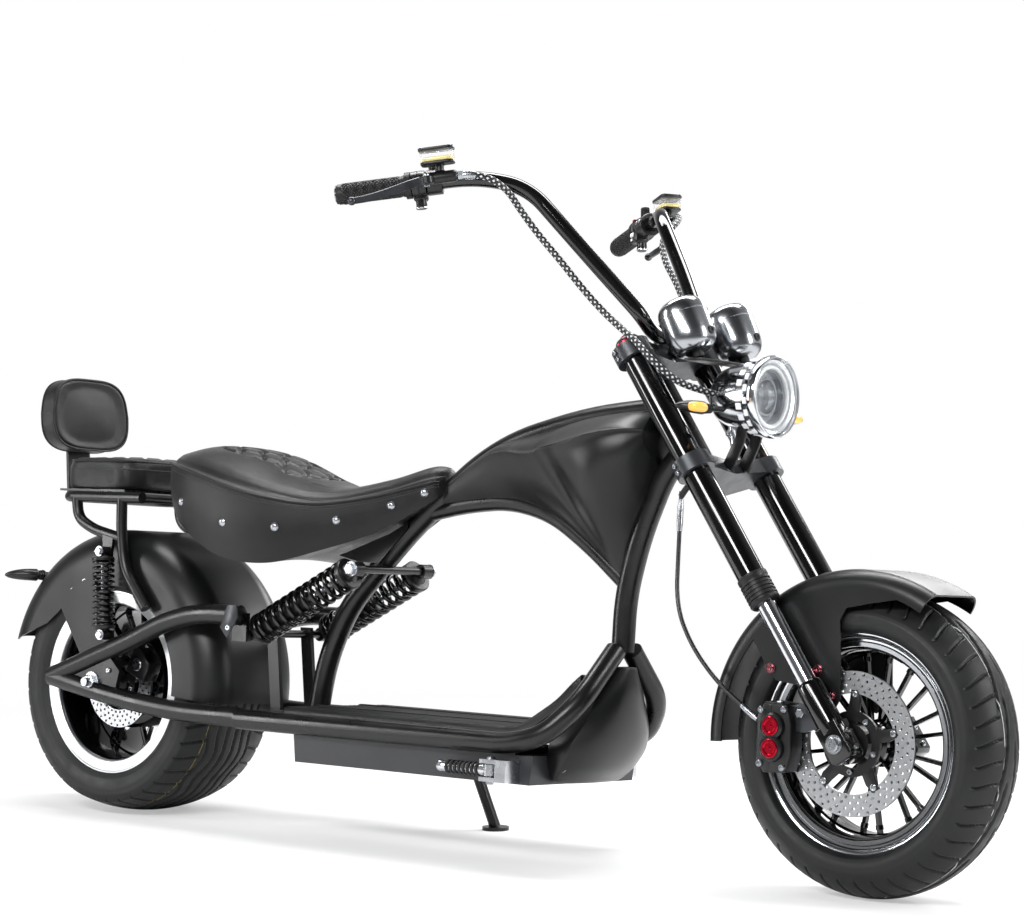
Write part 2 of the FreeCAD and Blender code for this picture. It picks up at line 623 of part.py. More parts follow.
def rear_fender():
    """Wide fender over the rear tyre, its rear corners cut away, with its brackets to the swingarm."""
    shell = fender_shell(REAR_AXLE, REAR_FENDER_RADIUS, REAR_FENDER_HALF_WIDTH, REAR_FENDER_EDGE,
                         REAR_FENDER_SHOULDER, -75, 170)
    below = about(REAR_AXLE, [(-330, 11), (-262, 61), (-158, 101), (-110, 139), (-110, -39), (-330, -39)])
    corner = plate(below, -2 * ARM_SPREAD, 4 * ARM_SPREAD)
    outline = about(REAR_AXLE, [(-118, 133), (-112, 157), (-36, 197), (12, 83), (2, 43), (-46, 29)])
    outer = ARM_SPREAD - ARM_TUBE_RADIUS - GAP
    inner = REAR_FENDER_HALF_WIDTH - 1
    return fuse([shell.cut(corner)] + both_sides(plate(outline, inner, outer - inner)))


def front_fender():
    """Narrow fender over the front tyre with side plates that bolt to the fork legs."""
    shell = fender_shell(FRONT_AXLE, FRONT_FENDER_RADIUS, FRONT_FENDER_HALF_WIDTH, FRONT_FENDER_EDGE,
                         FRONT_FENDER_SHOULDER, -93, 122.5)
    arch = (FRONT_FENDER_EDGE + FRONT_FENDER_RADIUS - FRONT_FENDER_SHOULDER) / 2
    outline = about(FRONT_AXLE, [(arch * math.sin(math.radians(a)), arch * math.cos(math.radians(a)))
                                 for a in range(-50, 21, 10)] +
                    [(27, 212), (-13, 204), (-23, 186), (-21, 140), (-18, 67), (-26, 53), (-45, 41),
                     (-63, 44), (-87, 82), (-134, 88), (-156, 113)])
    side = FRONT_FENDER_HALF_WIDTH
    plates = [plate(outline, side - FENDER_WALL, FENDER_WALL), plate(outline, -side, FENDER_WALL)]
    return fuse([shell] + plates)


def fork_tubes():
    """Upper fork tubes, closed by round caps."""
    tubes = []
    for side in (-FORK_SPREAD, FORK_SPREAD):
        base = on_fork(TUBE_BOTTOM, 0, side)
        length = TUBE_TOP - TUBE_BOTTOM
        radius = FORK_TUBE_RADIUS
        profile = [(0, 0), (0, radius - 2), (2, radius), (length - 6, radius), (length, radius - 6),
                   (length, 0)]
        tubes.append(turned(profile, base, FORK_UP))
    return Part.makeCompound(tubes)


# Corners of the square axle feet, along and ahead of the fork
FOOT_CORNERS = [(-28, -14), (-22, -20), (34, -20), (34, 20), (-22, 20), (-28, 14)]


def fork_legs():
    """Sliders with the axle's feet at their lower ends."""
    legs = []
    for side in (-FORK_SPREAD, FORK_SPREAD):
        slider = Part.makeCylinder(SLIDER_RADIUS, TUBE_BOTTOM - GAP, on_fork(0, 0, side), FORK_UP)
        leg = Part.makeCylinder(LEG_RADIUS, LEG_TOP, on_fork(0, 0, side), FORK_UP)
        half = LEG_RADIUS - 2
        corners = [on_fork(along, ahead, side - half) for along, ahead in FOOT_CORNERS]
        foot = face([tuple(p) for p in corners]).extrude(V(0, 2 * half, 0))
        bore = rod((FRONT_AXLE[0], side - 60, FRONT_AXLE[1]), (FRONT_AXLE[0], side + 60, FRONT_AXLE[1]),
                   AXLE_RADIUS + GAP)
        legs.append(fuse([slider, leg, foot]).cut(bore))
    return Part.makeCompound(legs)


def front_axle():
    """Axle through both fork feet."""
    reach = FORK_SPREAD + LEG_RADIUS + 5
    return rod((FRONT_AXLE[0], -reach, FRONT_AXLE[1]), (FRONT_AXLE[0], reach, FRONT_AXLE[1]), AXLE_RADIUS)


def clamp(along):
    """Fork clamp: a bridge with a split ring round each tube and a boss on the steering axis."""
    ring_radius = FORK_TUBE_RADIUS + CLAMP_WALL
    low = along - CLAMP_THICKNESS / 2
    rings = [Part.makeCylinder(ring_radius, CLAMP_THICKNESS, on_fork(low, 0, side), FORK_UP)
             for side in (-FORK_SPREAD, FORK_SPREAD)]
    boss = Part.makeCylinder(HEAD_TUBE_RADIUS + 2, CLAMP_THICKNESS, head_axis(low), FORK_UP)
    outline = [on_fork(low, -STEER_OFFSET - 20, -22), on_fork(low, -20, -FORK_SPREAD),
               on_fork(low, 24, -FORK_SPREAD), on_fork(low, 8, 0), on_fork(low, 24, FORK_SPREAD),
               on_fork(low, -20, FORK_SPREAD), on_fork(low, -STEER_OFFSET - 20, 22)]
    web = face([tuple(p) for p in outline]).extrude(FORK_UP * CLAMP_THICKNESS)
    bores = [Part.makeCylinder(FORK_TUBE_RADIUS + GAP, CLAMP_THICKNESS * 3,
                               on_fork(low - CLAMP_THICKNESS, 0, side), FORK_UP)
             for side in (-FORK_SPREAD, FORK_SPREAD)]
    return cut(fuse(rings + [boss, web]), bores)


def lower_clamp():
    """Lower fork clamp with the steering stem that turns in the head housing."""
    top = UPPER_CLAMP_AT - CLAMP_THICKNESS / 2 - GAP
    stem = Part.makeCylinder(HEAD_BORE_RADIUS - GAP, top - LOWER_CLAMP_AT, head_axis(LOWER_CLAMP_AT), FORK_UP)
    return fuse([clamp(LOWER_CLAMP_AT), stem])


def upper_clamp():
    """Upper fork clamp with the risers that hold the handlebar."""
    middle = V(*HANDLEBAR[-1])
    risers = []
    for side in (-19, 19):
        foot = on_fork(UPPER_CLAMP_AT, -18, side)
        risers.append(rod(tuple(foot), (middle.x, side, middle.z), 13))
        risers.append(rod((middle.x, side - 11, middle.z), (middle.x, side + 11, middle.z), BAR_RADIUS + 8))
    bore = rod((middle.x, -60, middle.z), (middle.x, 60, middle.z), BAR_RADIUS + GAP)
    return fuse([clamp(UPPER_CLAMP_AT)] + risers).cut(bore)


def handlebar():
    """High swept handlebar, one tube from grip to grip."""
    left = HANDLEBAR[:-1]
    right = [(x, -y, z) for x, y, z in reversed(left)]
    return bent_tube(left + right, BAR_RADIUS)


BAR_END = V(*HANDLEBAR[0])
BAR_INWARD = (V(*HANDLEBAR[1]) - BAR_END).normalize()


def grips():
    """Rubber grips over the bar's ends."""
    base = BAR_END - BAR_INWARD * 4
    profile = [(0, 0), (0, GRIP_RADIUS - 3), (3, GRIP_RADIUS), (GRIP_LENGTH - 8, GRIP_RADIUS),
               (GRIP_LENGTH - 8, GRIP_RADIUS + 5), (GRIP_LENGTH, GRIP_RADIUS + 5), (GRIP_LENGTH, 0)]
    grip = turned(profile, base, BAR_INWARD)
    bore = Part.makeCylinder(BAR_RADIUS + GAP, GRIP_LENGTH + 50, BAR_END - BAR_INWARD * GAP, BAR_INWARD)
    return Part.makeCompound(both_sides(grip.cut(bore)))


def bar_point(along, ahead=0.0, up=0.0):
    """Point beside the left grip, by distance from the bar's end, ahead of it and above it."""
    forward = V(0, 0, 1).cross(BAR_INWARD).normalize()
    upward = BAR_INWARD.cross(forward).normalize()
    return BAR_END + BAR_INWARD * along + forward * ahead + upward * up


PERCH_AT = GRIP_LENGTH - 4 + SWITCH_LENGTH + 2 * GAP


def brake_controls():
    """Brake levers with their perches, hydraulic cylinders and threaded mirror bosses."""
    up = bar_point(0, 0, 1) - bar_point(0)
    perch = Part.makeCylinder(BAR_RADIUS + 8, PERCH_LENGTH, bar_point(PERCH_AT), BAR_INWARD)
    cylinder = Part.makeCylinder(10, 56, bar_point(PERCH_AT - 2, 30, 2), BAR_INWARD)
    corners = [bar_point(PERCH_AT + along, ahead, -7) for along, ahead in ((3, 12), (21, 12), (21, 34), (3, 34))]
    arm = face([tuple(p) for p in corners]).extrude(up * 14)
    blade = [bar_point(PERCH_AT + 4, 40, -6), bar_point(PERCH_AT - 24, LEVER_REACH + 4, -6),
             bar_point(PERCH_AT - 116, LEVER_REACH - 8, -6), bar_point(PERCH_AT - 120, LEVER_REACH + 4, -6),
             bar_point(PERCH_AT - 28, LEVER_REACH + 16, -6), bar_point(PERCH_AT + 14, 42, -6)]
    lever = face([tuple(p) for p in blade]).extrude(up * 9)
    knuckle = Part.makeCylinder(12, 12, bar_point(PERCH_AT + 4, 38, -7), up)
    boss = Part.makeCylinder(MIRROR_HOLE_RADIUS + 4, 32, bar_point(PERCH_AT + PERCH_LENGTH / 2, -6, 0), up)
    hole = Part.makeCylinder(MIRROR_HOLE_RADIUS, MIRROR_HOLE_DEPTH + 1,
                             bar_point(PERCH_AT + PERCH_LENGTH / 2, -6, 32 - MIRROR_HOLE_DEPTH), up)
    bore = Part.makeCylinder(BAR_RADIUS + GAP, 70, bar_point(PERCH_AT - 20), BAR_INWARD)
    control = cut(fuse([perch, cylinder, arm, lever, knuckle, boss]), [bore, hole])
    return Part.makeCompound(both_sides(control))


def reservoirs():
    """Brake fluid reservoirs above the hydraulic cylinders."""
    up = bar_point(0, 0, 1) - bar_point(0)
    corners = [bar_point(PERCH_AT - 14, 12, 24), bar_point(PERCH_AT + 42, 12, 24),
               bar_point(PERCH_AT + 42, 50, 24), bar_point(PERCH_AT - 14, 50, 24)]
    tank = face([tuple(p) for p in corners]).extrude(up * 26)
    neck = Part.makeCylinder(8, 24 - 12, bar_point(PERCH_AT + 26, 30, 12.5), up)
    return Part.makeCompound(both_sides(fuse([tank, neck])))


def switch_pods():
    """Switch housings between the grips and the levers."""
    length = SWITCH_LENGTH
    profile = [(0, 0), (0, 17), (4, 21), (length - 4, 21), (length, 17), (length, 0)]
    pod = turned(profile, bar_point(GRIP_LENGTH - 4 + GAP), BAR_INWARD)
    bore = Part.makeCylinder(BAR_RADIUS + GAP, 80, bar_point(GRIP_LENGTH - 20), BAR_INWARD)
    return Part.makeCompound(both_sides(pod.cut(bore)))


def gauge_pods():
    """Round gauge cups that tilt back to the rider, joined by a bracket to the upper clamp."""
    tilt = math.radians(POD_TILT)
    axis = V(-math.sin(tilt), 0, math.cos(tilt))
    low = V(GAUGE_MIDDLE, POD_SPREAD, GAUGE_SHELF + 0.45 * POD_RADIUS * math.sin(tilt) + GAP)
    radius = POD_RADIUS
    profile = [(0, 0), (0, radius * 0.45), (8, radius * 0.8), (24, radius - 1), (POD_LENGTH - 10, radius),
               (POD_LENGTH - 10, radius + 2), (POD_LENGTH, radius + 2), (POD_LENGTH, radius - 4),
               (POD_LENGTH - 3, radius - 4), (POD_LENGTH - 3, 0)]
    cups = both_sides(turned(profile, low, axis))
    return Part.makeCompound(cups)


def headlamp_shell():
    """Headlamp bowl, round at the back, with a bezel at the front."""
    back = V(LAMP_FRONT - LENS_DEPTH - LAMP_DEPTH, 0, LAMP_HEIGHT)
    radius = LAMP_RADIUS
    profile = [(0, 0), (0, radius * 0.42), (10, radius * 0.62), (40, radius * 0.84),
               (LAMP_DEPTH - 26, radius - 4), (LAMP_DEPTH - 14, radius), (LAMP_DEPTH, radius), (LAMP_DEPTH, 0)]
    return turned(profile, back, (1, 0, 0))


def headlamp_lens():
    """Domed clear lens in front of the bowl."""
    base = V(LAMP_FRONT - LENS_DEPTH + GAP, 0, LAMP_HEIGHT)
    radius = LAMP_RADIUS - 5
    profile = [(0, 0), (0, radius), (LENS_DEPTH * 0.35, radius * 0.94), (LENS_DEPTH * 0.75, radius * 0.62),
               (LENS_DEPTH - GAP, 0)]
    return turned(profile, base, (1, 0, 0))


def front_bracket():
    """Welded bracket that carries the headlamp and the gauges on the fork clamps."""
    lower = on_fork(LOWER_CLAMP_AT, 0)
    ear = [(lower.x, lower.z + 10), (lower.x + 30, lower.z - 8), (LAMP_FRONT - 46, LAMP_HEIGHT - 70),
           (LAMP_FRONT - 46, LAMP_HEIGHT - 44), (LAMP_FRONT - 90, LAMP_HEIGHT - 44)]
    upper = on_fork(UPPER_CLAMP_AT)
    rear, front = GAUGE_MIDDLE - 24, GAUGE_MIDDLE + 20
    arm = plate([(upper.x + 2, upper.z + 9), (rear, GAUGE_SHELF - 5), (front, GAUGE_SHELF - 5),
                 (front, GAUGE_SHELF), (rear, GAUGE_SHELF), (upper.x + 6, upper.z + 17)], -14, 28)
    shelf = Part.makeBox(34, 2 * POD_SPREAD + 30, 5, V(GAUGE_MIDDLE - 16, -POD_SPREAD - 15, GAUGE_SHELF - 5))
    return Part.makeCompound(both_sides(plate(ear, 20, 5)) + [fuse([arm, shelf])])


def front_indicators():
    """Amber indicators on stalks beside the headlamp."""
    lamp = turned([(0, 0), (0, 6), (8, INDICATOR_RADIUS), (46, INDICATOR_RADIUS - 1), (56, 5), (56, 0)],
                  V(LAMP_FRONT - 90, 140, LAMP_HEIGHT - 27), V(1, 0.35, 0))
    stalk = rod((LAMP_FRONT - 85, 40, LAMP_HEIGHT - 22), (LAMP_FRONT - 80, 144, LAMP_HEIGHT - 26), 5)
    return Part.makeCompound(both_sides(fuse([lamp, stalk])))


def cable_sleeves(shell):
    """Braided sleeves from the brake cylinders down to the headlamp."""
    sleeves = both_sides(bent_tube(BRAKE_SLEEVE, SLEEVE_RADIUS))
    return Part.makeCompound([sleeve.cut(shell) for sleeve in sleeves])


def front_caliper():
    """Two-piston brake caliper behind the right fork leg, open round the disc."""
    disc_y = -FRONT_DISC_FACE
    outline = about(FRONT_AXLE, [(-147, -30), (-133, -52), (-93, -50), (-85, -22), (-85, 26), (-93, 54),
                                 (-133, 58), (-147, 36)])
    body = plate(outline, disc_y - 44, 50)
    slot = ring_about(FRONT_AXLE, [(disc_y + RUNNING_GAP, FRONT_DISC_RADIUS + 3),
                                   (disc_y - DISC_THICKNESS - RUNNING_GAP, FRONT_DISC_RADIUS + 3),
                                   (disc_y - DISC_THICKNESS - RUNNING_GAP, 40), (disc_y + RUNNING_GAP, 40)])
    pistons = [rod((x, disc_y - 52, z), (x, disc_y - 30, z), 15)
               for x, z in about(FRONT_AXLE, [(-116, -14), (-116, 20)])]
    bracket = plate(about(FRONT_AXLE, [(-91, 14), (-91, 48), (-31, 64), (-19, 32)]), disc_y - 28, 6)
    return fuse([body.cut(slot), bracket] + pistons)


def rear_caliper():
    """Rear brake caliper on the right, ahead of the axle."""
    disc_y = -REAR_DISC_FACE
    body = plate(about(REAR_AXLE, [(40, 23), (86, 3), (102, 37), (62, 73)]), disc_y - 30, 34.5)
    slot = ring_about(REAR_AXLE, [(disc_y + RUNNING_GAP, REAR_DISC_RADIUS + 3),
                                  (disc_y - DISC_THICKNESS - RUNNING_GAP, REAR_DISC_RADIUS + 3),
                                  (disc_y - DISC_THICKNESS - RUNNING_GAP, 30), (disc_y + RUNNING_GAP, 30)])
    return body.cut(slot)


def rack():
    """Tube rack over the rear fender: a top hoop, a leg and a rear loop on each side."""
    hoop = RACK_TOP_RAIL[:-1] + [(x, -y, z) for x, y, z in reversed(RACK_TOP_RAIL[:-1])]
    pieces = [bent_tube(hoop, RACK_TUBE_RADIUS)]
    for route in (RACK_LEG, RACK_LOOP):
        pieces += both_sides(bent_tube(route, RACK_TUBE_RADIUS))
    pieces.append(rod((70, -RACK_SPREAD, RACK_HEIGHT), (70, RACK_SPREAD, RACK_HEIGHT), RACK_TUBE_RADIUS - 2))
    return fuse(pieces + spring_lug(SMALL_SPRING_TOP, 30))


def backrest_line(height, behind=0.0):
    """Point of the backrest's tilted rear face at a height, as (x, z)."""
    rise = height - BACKREST_BOTTOM
    return (BACKREST_REAR - rise * math.tan(math.radians(BACKREST_TILT)) - behind, height)


def pillion_base():
    """Steel plate below the pillion pad, with the arm that carries the backrest."""
    low = RACK_HEIGHT + RACK_TUBE_RADIUS + GAP
    top = low + PILLION_PLATE
    pan = Part.makeBox(PILLION_FRONT - PILLION_REAR - 16, 2 * RACK_SPREAD, PILLION_PLATE,
                       V(PILLION_REAR + 8, -RACK_SPREAD, low))
    arm_top = BACKREST_BOTTOM + 75
    arm = [(PILLION_REAR + 40, low), backrest_line(low, GAP + BACKREST_ARM),
           backrest_line(arm_top, GAP + BACKREST_ARM), backrest_line(arm_top, GAP),
           backrest_line(top, GAP), (PILLION_REAR + 40, top)]
    return fuse([pan, plate(arm, -28, 56)])


def soft_block(x0, x1, half, z0, z1, edge):
    """Plain cushion with rounded upright corners."""
    block = Part.makeBox(x1 - x0, 2 * half, z1 - z0, V(x0, -half, z0))
    upright = [e for e in block.Edges if abs(e.tangentAt(e.FirstParameter).z) > 0.9]
    return block.makeFillet(edge, upright)


def pillion_pad():
    """Pillion cushion on its plate."""
    low = RACK_HEIGHT + RACK_TUBE_RADIUS + GAP + PILLION_PLATE + GAP
    return soft_block(PILLION_REAR, PILLION_FRONT, PILLION_HALF_WIDTH, low, low + PILLION_HEIGHT, 30)


def backrest():
    """Backrest cushion, tilted back."""
    height = BACKREST_TOP - BACKREST_BOTTOM
    half = BACKREST_HALF_WIDTH
    block = Part.makeBox(BACKREST_THICKNESS, 2 * half, height, V(0, -half, 0))
    along = [e for e in block.Edges if abs(e.tangentAt(e.FirstParameter).x) > 0.9]
    block = block.makeFillet(min(BACKREST_CORNER, 0.45 * height, 0.9 * half), along)
    block.rotate(V(0, 0, 0), V(0, 1, 0), -BACKREST_TILT)
    block.translate(V(BACKREST_REAR, 0, BACKREST_BOTTOM))
    return block


def tail_lamp():
    """Tail lamp on the fender's rear."""
    outline = [(-296, 334), (-250, 334), (-226, 384), (-280, 380)]
    return plate(outline, -42, 84)


def rear_indicators():
    """Rear indicators on rubber stalks that a tongue holds behind the fender."""
    x, z = about(REAR_AXLE, [(-238, 189)])[0]
    bar = rod((x, -82, z), (x, 82, z), 8)
    tongue = plate([(x + 62, z - 4), (x - 4, z - 4), (x - 4, z + 4), (x + 62, z + 4)], -14, 28)
    profile = [(0, 0), (0, 7), (8, INDICATOR_RADIUS + 1), (30, INDICATOR_RADIUS + 2), (54, INDICATOR_RADIUS - 4),
               (64, 3), (64, 0)]
    lamps = both_sides(turned(profile, V(x + 3, 76, z), V(-0.75, 0.66, 0)))
    return fuse([bar, tongue] + lamps)


def stand_frame():
    """Axis of the stand's hinge, and the leg's direction when it is down."""
    tilt = math.radians(STAND_TILT)
    rake = math.radians(STAND_RAKE)
    axis = V(0, math.cos(tilt), math.sin(tilt))
    down = V(0, math.sin(tilt), -math.cos(tilt))
    leg = down * math.cos(rake) + V(1, 0, 0) * math.sin(rake)
    return axis, leg


def side_stand():
    """Side stand, down, with its foot flat on the floor once the machine leans."""
    axis, leg = stand_frame()
    pivot = V(*STAND_PIVOT)
    lean = math.radians(LEAN)
    up = V(0, -math.sin(lean), math.cos(lean))
    drop = pivot.dot(up)
    length = (drop - 3) / -leg.dot(up)
    foot = pivot + leg * length
    eye = Part.makeCylinder(STAND_RADIUS + 4, 10, pivot - axis * 5, axis)
    bar = Part.makeCylinder(STAND_RADIUS, length - 3, pivot, leg)
    base = foot - up * (foot.dot(up))
    pad = Part.makeCylinder(24, 6, base, up)
    bore = Part.makeCylinder(6 + GAP, 40, pivot - axis * 20, axis)
    return fuse([eye, bar, pad]).cut(bore)


def stand_bracket():
    """Lug on the left rail with the stand's pivot bolt."""
    axis = stand_frame()[0]
    pivot = V(*STAND_PIVOT)
    bolt = Part.makeCylinder(6, 34, pivot - axis * 26, axis)
    lug = plate([(pivot.x - 22, pivot.z - 16), (pivot.x + 22, pivot.z - 16), (pivot.x + 30, RAIL_HEIGHT),
                 (pivot.x - 30, RAIL_HEIGHT)], RAIL_SPREAD - 3, 8)
    return fuse([lug, bolt])


def foot_peg():
    """Left foot peg, folded back along the battery case."""
    x, y, z = PEG_PIVOT
    eye = Part.makeCylinder(11, 20, V(x, y, z - 10), V(0, 0, 1))
    bar = rod((x, y, z), (x - PEG_LENGTH, y, z), PEG_RADIUS)
    bore = Part.makeCylinder(4 + GAP, 30, V(x, y, z - 15), V(0, 0, 1))
    return fuse([eye, bar]).cut(bore)


def peg_brackets():
    """Brackets that hold the foot pegs' hinge pins below the rails."""
    x, y, z = PEG_PIVOT
    top = plate([(x - 14, z + 10 + RUNNING_GAP), (x + 40, z + 10 + RUNNING_GAP), (x + 40, z + 18),
                 (x - 14, z + 18)], BATTERY_HALF_WIDTH + GAP, y + 12 - BATTERY_HALF_WIDTH)
    low = plate([(x - 14, z - 18), (x + 40, z - 18), (x + 40, z - 10 - RUNNING_GAP),
                 (x - 14, z - 10 - RUNNING_GAP)], BATTERY_HALF_WIDTH + GAP, y + 12 - BATTERY_HALF_WIDTH)
    back = Part.makeBox(22, y + 12 - BATTERY_HALF_WIDTH, 36, V(x + 18, BATTERY_HALF_WIDTH + GAP, z - 18))
    pin = Part.makeCylinder(4, 36, V(x, y, z - 18), V(0, 0, 1))
    return Part.makeCompound(both_sides(fuse([top, low, back, pin])))


def model():
    """Every piece by name, still upright."""
    tubes = frame_tubes()
    deck = deck_frame().cut(tubes)
    saddle = seat(tubes)
    fender_drum = rod((0, -RACK_SPREAD, REAR_AXLE[1]), (0, RACK_SPREAD, REAR_AXLE[1]), REAR_FENDER_RADIUS)
    clamps = Part.makeCompound([lower_clamp(), upper_clamp()])
    shell = headlamp_shell()
    legs = fork_legs()
    caliper = front_caliper().cut(legs)
    peg = foot_peg()
    return {
        "frame_tubes": tubes,
        "tank_cover": tank_cover(tubes),
        "deck_frame": deck,
        "deck_mat": deck_mat(),
        "battery_box": battery_box(),
        "chin_cover": chin_cover(),
        "seat": saddle,
        "seat_bracket": cut(seat_bracket(), [tubes, saddle]),
        "main_springs": main_springs(),
        "small_springs": small_springs(),
        "swingarm": swingarm().cut(deck),
        "rear_axle": rear_axle(),
        "rear_fender": rear_fender(),
        "rack": rack(),
        "pillion_base": pillion_base(),
        "pillion_pad": pillion_pad(),
        "backrest": backrest(),
        "tail_lamp": tail_lamp().cut(fender_drum),
        "rear_indicators": rear_indicators().cut(fender_drum),
        "rear_caliper": rear_caliper(),
        "stand_bracket": stand_bracket().cut(deck),
        "peg_brackets": peg_brackets().cut(deck),
        "rear_tyre": tyre(REAR_AXLE, REAR_TYRE_RADIUS, REAR_TYRE_WIDTH, REAR_CROWN_RADIUS, REAR_RIM_WIDTH),
        "rear_rim": rim(REAR_AXLE, REAR_RIM_WIDTH, MOTOR_RADIUS, MOTOR_WIDTH),
        "rear_disc": disc(REAR_AXLE, REAR_DISC_RADIUS, MOTOR_WIDTH, REAR_DISC_STANDOFF),
        "front_tyre": tyre(FRONT_AXLE, FRONT_TYRE_RADIUS, FRONT_TYRE_WIDTH, FRONT_CROWN_RADIUS,
                           FRONT_RIM_WIDTH),
        "front_rim": rim(FRONT_AXLE, FRONT_RIM_WIDTH, FRONT_HUB_RADIUS, FRONT_HUB_WIDTH),
        "front_disc": disc(FRONT_AXLE, FRONT_DISC_RADIUS, FRONT_HUB_WIDTH, FRONT_DISC_STANDOFF),
        "lower_clamp": clamps.Solids[0],
        "upper_clamp": clamps.Solids[1],
        "fork_tubes": fork_tubes(),
        "fork_legs": legs,
        "front_axle": front_axle(),
        "front_fender": front_fender(),
        "front_caliper": caliper,
        "brake_hose": bent_tube(BRAKE_HOSE, HOSE_RADIUS).cut(caliper),
        "handlebar": handlebar(),
        "grips": grips(),
        "brake_controls": brake_controls(),
        "reservoirs": reservoirs(),
        "switch_pods": switch_pods(),
        "gauge_pods": gauge_pods(),
        "headlamp_shell": shell,
        "headlamp_lens": headlamp_lens(),
        "front_bracket": cut(front_bracket(), [clamps, shell]),
        "front_indicators": front_indicators().cut(shell),
        "cable_sleeves": cable_sleeves(shell),
        "side_stand": side_stand(),
        "peg_left": peg,
        "peg_right": peg.mirror(V(0, 0, 0), V(0, 1, 0)),
    }


def leaned(shape):
    """The same piece after the machine has leaned onto its stand."""
    return shape.rotated(V(0, 0, 0), V(1, 0, 0), -LEAN)


pieces = {name: leaned(shape) for name, shape in model().items()}
box = Part.makeCompound(list(pieces.values())).optimalBoundingBox(False, False)
ORIGIN = V((box.XMin + box.XMax) / 2, (box.YMin + box.YMax) / 2, box.ZMin)

os.makedirs("parts", exist_ok=True)
for name, shape in pieces.items():
    shape.translate(ORIGIN * -1)
    shape.exportStep("parts/" + name + ".step")
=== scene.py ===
import json
import math

import bmesh
import bpy
import numpy as np
from mathutils import Matrix, Vector


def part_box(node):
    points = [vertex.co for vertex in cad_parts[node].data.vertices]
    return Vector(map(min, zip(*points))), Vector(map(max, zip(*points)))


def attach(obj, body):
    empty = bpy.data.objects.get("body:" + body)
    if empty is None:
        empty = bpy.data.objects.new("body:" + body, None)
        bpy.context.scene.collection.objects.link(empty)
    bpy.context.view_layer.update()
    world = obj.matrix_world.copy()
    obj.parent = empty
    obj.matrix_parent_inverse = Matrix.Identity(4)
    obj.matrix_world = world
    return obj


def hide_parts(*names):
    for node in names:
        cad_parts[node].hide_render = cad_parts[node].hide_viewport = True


# Electric chopper scooter. Every piece is laid out upright in millimetres: X forward from the rear
# axle, Y to the left, Z up from the floor. One matrix then leans it onto its stand and sets it down
# in the frame, in metres.

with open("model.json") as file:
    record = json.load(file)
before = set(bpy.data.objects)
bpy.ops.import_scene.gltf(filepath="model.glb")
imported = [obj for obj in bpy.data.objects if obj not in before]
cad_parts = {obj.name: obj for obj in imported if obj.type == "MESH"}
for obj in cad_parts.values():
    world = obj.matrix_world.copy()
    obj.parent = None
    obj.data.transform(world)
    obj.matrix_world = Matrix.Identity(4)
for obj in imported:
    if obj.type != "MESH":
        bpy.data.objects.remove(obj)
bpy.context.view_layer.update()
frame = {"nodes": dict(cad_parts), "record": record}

MM = 0.001
LEAN = 3.8
FRONT_AXLE = Vector((1579.0, 0.0, 236.17))
REAR_AXLE = Vector((0.0, 0.0, 238.66))
RAKE = math.radians(35)
FORK_SPREAD = 98.0
# The head axis lies behind the fork's plane, and the two clamps sit this far up the fork.
HEAD_BEHIND = -45.0
LOWER_CLAMP, UPPER_CLAMP = 505.0, 724.0
# Radii of the tyre's bead and of the rim's flange and inner edge, on both wheels.
BEAD, FLANGE, RIM_INNER = 166.3, 166.0, 146.0
FORK_UP = Vector((-math.sin(RAKE), 0, math.cos(RAKE)))
FORK_AHEAD = Vector((math.cos(RAKE), 0, math.sin(RAKE)))
X, Y, Z = Vector((1, 0, 0)), Vector((0, 1, 0)), Vector((0, 0, 1))


def set_down():
    """The upright layout in millimetres to the leaning machine in metres."""
    low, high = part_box("front_axle")
    lean = Matrix.Rotation(-math.radians(LEAN), 4, "X")
    offset = (low + high) / 2 - lean @ (FRONT_AXLE * MM)
    return Matrix.Translation(offset) @ lean @ Matrix.Scale(MM, 4)


UPRIGHT = set_down()
BACK = UPRIGHT.inverted()


def on_fork(along, ahead=0.0, side=0.0):
    """Point by its distance up the fork from the axle, ahead of the fork's plane, and to the left."""
    return FRONT_AXLE + FORK_UP * along + FORK_AHEAD * ahead + Y * side


# Finishes

def linear(code):
    """An sRGB hex colour as linear RGBA."""
    channels = [int(code[i:i + 2], 16) / 255 for i in (1, 3, 5)]
    return [c / 12.92 if c <= 0.04045 else ((c + 0.055) / 1.055) ** 2.4 for c in channels] + [1.0]


def per_metre(size_mm):
    """Texture scale whose features are about size_mm across."""
    return 1 / (size_mm * MM)


def add(tree, kind, sockets=(), **settings):
    """Add a shader node, set its properties, and set or link its sockets."""
    node = tree.nodes.new("ShaderNode" + kind)
    for name, value in settings.items():
        setattr(node, name, value)
    for name, value in dict(sockets).items():
        socket = node.inputs[name]
        if isinstance(value, bpy.types.NodeSocket):
            tree.links.new(value, socket)
        else:
            socket.default_value = value
    return node


def new_finish(name):
    """An empty material with its node tree."""
    material = bpy.data.materials.new(name)
    material.use_nodes = True
    material.node_tree.nodes.clear()
    return material, material.node_tree


def close_finish(tree, sockets):
    """The principled shader and the output."""
    shader = add(tree, "BsdfPrincipled", sockets)
    add(tree, "OutputMaterial", {"Surface": shader.outputs[0]})


def ramp(tree, value, low, high, start=0.0, end=1.0):
    """Value between low and high, spread from start to end."""
    return add(tree, "MapRange", {"Value": value, "From Min": low, "From Max": high,
                                  "To Min": start, "To Max": end}).outputs[0]


SHADER_SOCKETS = {"ior": "IOR", "transmission": "Transmission Weight", "coat": "Coat Weight",
                  "glow": "Emission Strength", "glow_colour": "Emission Color", "specular": "Specular IOR Level",
                  "alpha": "Alpha"}


